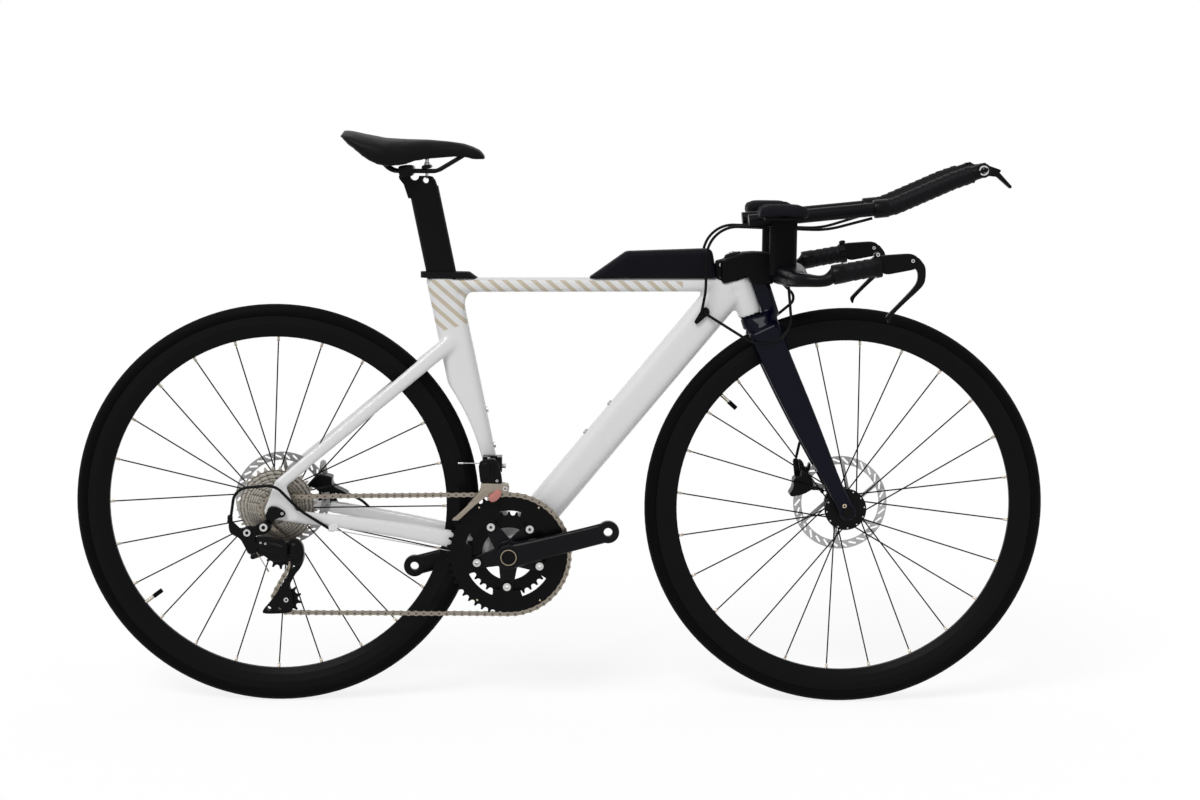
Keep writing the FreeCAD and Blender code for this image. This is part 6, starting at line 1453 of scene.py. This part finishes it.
class BIKE_OT_storage_box(bpy.types.Operator):
    """Rounds the storage box as one moulded shell"""

    bl_idname = "bike.storage_box"
    bl_label = "Storage box"

    grain = 0.002
    foot = 0.7235

    def execute(self, context):
        shell = copy_of("storage_box", "storage_shell")
        melted(shell, self.grain, 10, 0.6, lambda p: 0.0 if p.z < self.foot else 1.0)
        installed(shell, "frame", "box_black", "black_matte", "storage_box")
        return {"FINISHED"}


class BIKE_OT_calipers(bpy.types.Operator):
    """Models the brake calipers, each slotted for its disc"""

    bl_idname = "bike.calipers"
    bl_label = "Brake calipers"

    front_body = [
        (-82, 43), (-70, 46), (-68, 51), (-69, 57), (-56, 57), (-56, 48), (-48, 39), (-47, 27),
        (-51, 23), (-65, 15), (-83, 11), (-89, 15), (-81, 27),
    ]
    front_neck = [
        (-73, 74), (-68, 74), (-64, 68), (-62, 61), (-57, 61), (-56, 68), (-52, 69), (-52, 61),
        (-55, 51), (-69, 51), (-72, 64),
    ]
    front_arm = [(-52, 27), (-32, 27), (-27, 22), (-27, 14), (-32, 14), (-34, 20), (-52, 20)]
    rear_body = [
        (43, 21), (48, 29), (57, 40), (63, 43), (77, 41), (86, 38), (84, 31), (86, 23), (109, 12),
        (112, 8), (102, 7), (84, 13), (69, 12), (62, 13), (56, 20),
    ]
    rear_foot = [(60, 20), (84, 20), (90, -4), (96, -16), (56, -16), (60, -2)]
    disc_radius = 82
    half_slot = 1.9
    grain = 0.001

    def execute(self, context):
        front = ((self.front_body, 24, 56), (self.front_neck, 31, 45), (self.front_arm, 42, 54))
        self.caliper("front", "steering", FRONT_HUB, front, 38)
        rear = ((self.rear_body, 41, 73), (self.rear_foot, 62, 74))
        self.caliper("rear", "frame", REAR_HUB, rear, 55)
        return {"FINISHED"}

    def caliper(self, end, body, hub, layers, disc_side):
        """One caliper: layers melted together, and a slot cut where the disc runs."""
        pieces = [plate(end + "_layer", eased(line, 1), near, far, 0, hub) for line, near, far in layers]
        shell = moulded(end + "_caliper_shell", pieces, self.grain, 4)
        radius, half = self.disc_radius, self.half_slot
        slot_shape = [(0, 0), (radius, 0), (radius, half * 2), (0, half * 2)]
        slot = turned("disc_slot", slot_shape, hub + LEFT * ((disc_side - half) * MM), LEFT, 96)
        modify(shell, "BOOLEAN", object=slot, operation="DIFFERENCE", solver="EXACT")
        bpy.data.objects.remove(slot)
        smooth_shade(shell, 40)
        installed(shell, body, "anodised", "black_alloy", end + "_caliper")


# Each row: body, finish, place, axis, then radius and height in millimetres.
SCREWS = (
    ("steering", "steel", LEVER_PIVOT + offset(0, -8.3, 0), RIGHT, 2.9, 1.2),
    ("steering", "steel", LEVER_PIVOT + offset(0, 8.3, 0), LEFT, 2.9, 1.2),
    ("steering", "steel", LEVER_PIVOT + offset(0, 408.3, 0), LEFT, 2.9, 1.2),
    ("steering", "steel", LEVER_PIVOT + offset(0, 391.7, 0), RIGHT, 2.9, 1.2),
    ("steering", "steel", LEVER_PIVOT + offset(-55, -6, 9), RIGHT, 3, 2),
    ("steering", "steel", LEVER_PIVOT + offset(-55, 406, 9), LEFT, 3, 2),
    ("steering", "steel", offset(261.4, -13.2, 743), RIGHT, 3.6, 3),
    ("steering", "steel", offset(262.9, -13.2, 722), RIGHT, 3.6, 3),
    ("steering", "steel", offset(280, 0, 761.4), STEER_UP, 4.4, 3),
    ("steering", "brass", FRONT_HUB + offset(-6, -61, 11), RIGHT, 3.6, 1.6),
    ("frame", "steel", REAR_HUB + offset(-13, -96, -23), RIGHT, 6.6, 2.4),
    ("frame", "steel", REAR_HUB + offset(-40, -96, -32), RIGHT, 6, 2.4),
    ("frame", "steel", REAR_HUB + offset(16, -84.6, -2), RIGHT, 2.4, 1.2),
    ("frame", "steel", FRONT_MECH + offset(14, 26, -7), AHEAD, 4, 8),
    ("steering", "steel", SHIFT_PIVOT + offset(0, -10, 0), RIGHT, 3.6, 1.6),
    ("steering", "steel", SHIFT_PIVOT + offset(0, 130, 0), LEFT, 3.6, 1.6),
    ("mech_outer_link", "steel", REAR_HUB + offset(-18, -95.4, -48.6), RIGHT, 1.8, 1.4),
    ("mech_outer_link", "steel", REAR_HUB + offset(-10, -97.6, -49.6), RIGHT, 1.8, 1.4),
    ("mech_cage", "steel", Vector((TENSION.x, -0.0696, TENSION.z)), RIGHT, 4, 1.6),
    ("mech_cage", "steel", Vector((GUIDE.x, -0.0696, GUIDE.z)), RIGHT, 4, 1.6),
    ("seatpost", "steel", offset(-226, 0, 902), UP, 4.8, 5),
    ("seatpost", "steel", offset(-226, 0, 907), UP, 3.4, 7),
    ("front_mech_cage", "steel", FRONT_MECH + offset(21.5, -20.4, -38), RIGHT, 4, 2.4),
    ("front_mech_cage", "steel", FRONT_MECH + offset(-6, -8, 9.6), UP, 2.4, 3.2),
    ("front_mech_cage", "steel", FRONT_MECH + offset(8, -19.4, -25), RIGHT, 2.2, 1.6),
)


class BIKE_OT_screws(bpy.types.Operator):
    """Sets the small screws, each on the body that it holds"""

    bl_idname = "bike.screws"
    bl_label = "Screws"

    def execute(self, context):
        master = cap_screw()
        groups = {}
        for body, finish_name, place, axis, radius, height in SCREWS:
            screw = stamped(master, place, axis, radius, height)
            groups.setdefault((body, finish_name), []).append(screw)
        for (body, finish_name), screws in groups.items():
            name = f"{body}_{finish_name}_screws"
            group = installed(joined(name, screws), body, finish_name, "silver")
            # Painted shade: the sockets take the black anodised finish.
            group.material_slots[1].material = FINISHES["anodised"]
        bpy.data.objects.remove(master)
        return {"FINISHED"}


class BIKE_OT_stage(bpy.types.Operator):
    """Sets the floor, the soft lights and the camera"""

    bl_idname = "bike.stage"
    bl_label = "Stage"

    sun_from = Vector((-0.45, -0.8, 1.0))
    sun_power = 1.5
    sun_spread = math.radians(28)
    shade_level = 0.42
    floor_size = 60
    floor_white = (0.9, 0.9, 0.9, 1)
    white_share = 0.72
    glow_level = 1.12
    film_width = 36

    def execute(self, context):
        self.floor()
        self.lights()
        self.camera(context)
        return {"FINISHED"}

    def seen_by_eye(self, tree):
        """1 for rays from the camera, in mirrors and through glass."""
        path = add(tree, "ShaderNodeLightPath")
        seen = math_node(tree, "MAXIMUM", path.outputs["Is Camera Ray"], path.outputs["Is Glossy Ray"])
        return math_node(tree, "MAXIMUM", seen, path.outputs["Is Transmission Ray"])

    def floor(self):
        """A white floor that glows for the eye, so that only the bike's shade shows on it."""
        bpy.ops.object.select_all(action="DESELECT")
        bpy.ops.mesh.primitive_plane_add(size=self.floor_size)
        floor = bpy.context.active_object
        floor.name = "floor"
        material = bpy.data.materials.new("floor_white")
        material.use_nodes = True
        tree = material.node_tree
        shader = tree.nodes["Principled BSDF"]
        shader.inputs["Base Color"].default_value = self.floor_white
        shader.inputs["Roughness"].default_value = 0.9
        shader.inputs["Specular IOR Level"].default_value = 0.0
        glow = add(tree, "ShaderNodeEmission")
        glow.inputs["Strength"].default_value = self.glow_level
        blend = add(tree, "ShaderNodeMixShader")
        tree.links.new(times(tree, self.seen_by_eye(tree), self.white_share), blend.inputs[0])
        tree.links.new(shader.outputs[0], blend.inputs[1])
        tree.links.new(glow.outputs[0], blend.inputs[2])
        tree.links.new(blend.outputs[0], tree.nodes["Material Output"].inputs["Surface"])
        floor.data.materials.append(material)

    def lights(self):
        """A white world, dimmer for the bike than for the eye, and one soft sun."""
        world = bpy.context.scene.world or bpy.data.worlds.new("studio")
        bpy.context.scene.world = world
        world.use_nodes = True
        tree = world.node_tree
        back = tree.nodes["Background"]
        back.inputs["Color"].default_value = (1, 1, 1, 1)
        extra = times(tree, self.seen_by_eye(tree), 1 - self.shade_level)
        tree.links.new(math_node(tree, "ADD", extra, self.shade_level), back.inputs["Strength"])
        sun = bpy.data.lights.new("soft_sun", "SUN")
        sun.energy = self.sun_power
        sun.angle = self.sun_spread
        lamp = bpy.data.objects.new("soft_sun", sun)
        bpy.context.scene.collection.objects.link(lamp)
        lamp.rotation_euler = (-self.sun_from).to_track_quat("-Z", "Y").to_euler()

    def camera(self, context):
        """The photograph's view: heading and tilt first, then the lean."""
        stage = context.scene.bike_stage
        data = bpy.data.cameras.new("photo_view")
        data.sensor_width = self.film_width
        data.lens = stage.lens
        camera = bpy.data.objects.new("photo_view", data)
        context.scene.collection.objects.link(camera)
        heading, tilt, lean = stage.heading, stage.tilt, stage.lean
        level = math.cos(tilt)
        look = Vector((math.sin(heading) * level, math.cos(heading) * level, -math.sin(tilt)))
        right = Vector((math.cos(heading), -math.sin(heading), 0))
        up = right.cross(look)
        side = right * math.cos(lean) + up * math.sin(lean)
        top = up * math.cos(lean) - right * math.sin(lean)
        turn = Matrix((side, top, -look)).transposed()
        camera.matrix_world = Matrix.Translation(stage.eye) @ turn.to_4x4()
        context.scene.camera = camera
        context.scene.view_settings.view_transform = "Standard"


PIECES = (
    BIKE_OT_finishes,
    BIKE_OT_shells,
    BIKE_OT_saddle,
    BIKE_OT_saddle_clamp,
    BIKE_OT_arm_pads,
    BIKE_OT_bar_wrap,
    BIKE_OT_hoods,
    BIKE_OT_stem,
    BIKE_OT_cranks,
    BIKE_OT_chain_pins,
    BIKE_OT_shifters,
    BIKE_OT_crank_trim,
    BIKE_OT_rear_mech,
    BIKE_OT_front_mech,
    BIKE_OT_wheels,
    BIKE_OT_cable_stop,
    BIKE_OT_cockpit_cables,
    BIKE_OT_storage_box,
    BIKE_OT_calipers,
    BIKE_OT_spoke_heads,
    BIKE_OT_screws,
    BIKE_OT_stage,
)


class BIKE_PT_panel(bpy.types.Panel):
    """Lists the steps that dress the bike"""

    bl_idname = "BIKE_PT_panel"
    bl_label = "Time trial bike"
    bl_space_type = "VIEW_3D"
    bl_region_type = "UI"
    bl_category = "Bike"

    def draw(self, context):
        for piece in PIECES:
            self.layout.operator(piece.bl_idname)


SETTINGS = (("bike_paint", BikePaint), ("bike_form", BikeForm), ("bike_stage", BikeStage))
CLASSES = tuple(group for _, group in SETTINGS) + PIECES + (BIKE_PT_panel,)


def register():
    for item in CLASSES:
        bpy.utils.register_class(item)
    for name, group in SETTINGS:
        setattr(bpy.types.Scene, name, bpy.props.PointerProperty(type=group))


def unregister():
    for name, _ in SETTINGS:
        delattr(bpy.types.Scene, name)
    for item in reversed(CLASSES):
        bpy.utils.unregister_class(item)


def main():
    register()
    for piece in PIECES:
        area, word = piece.bl_idname.split(".")
        getattr(getattr(bpy.ops, area), word)()


if __name__ == "__main__":
    main()
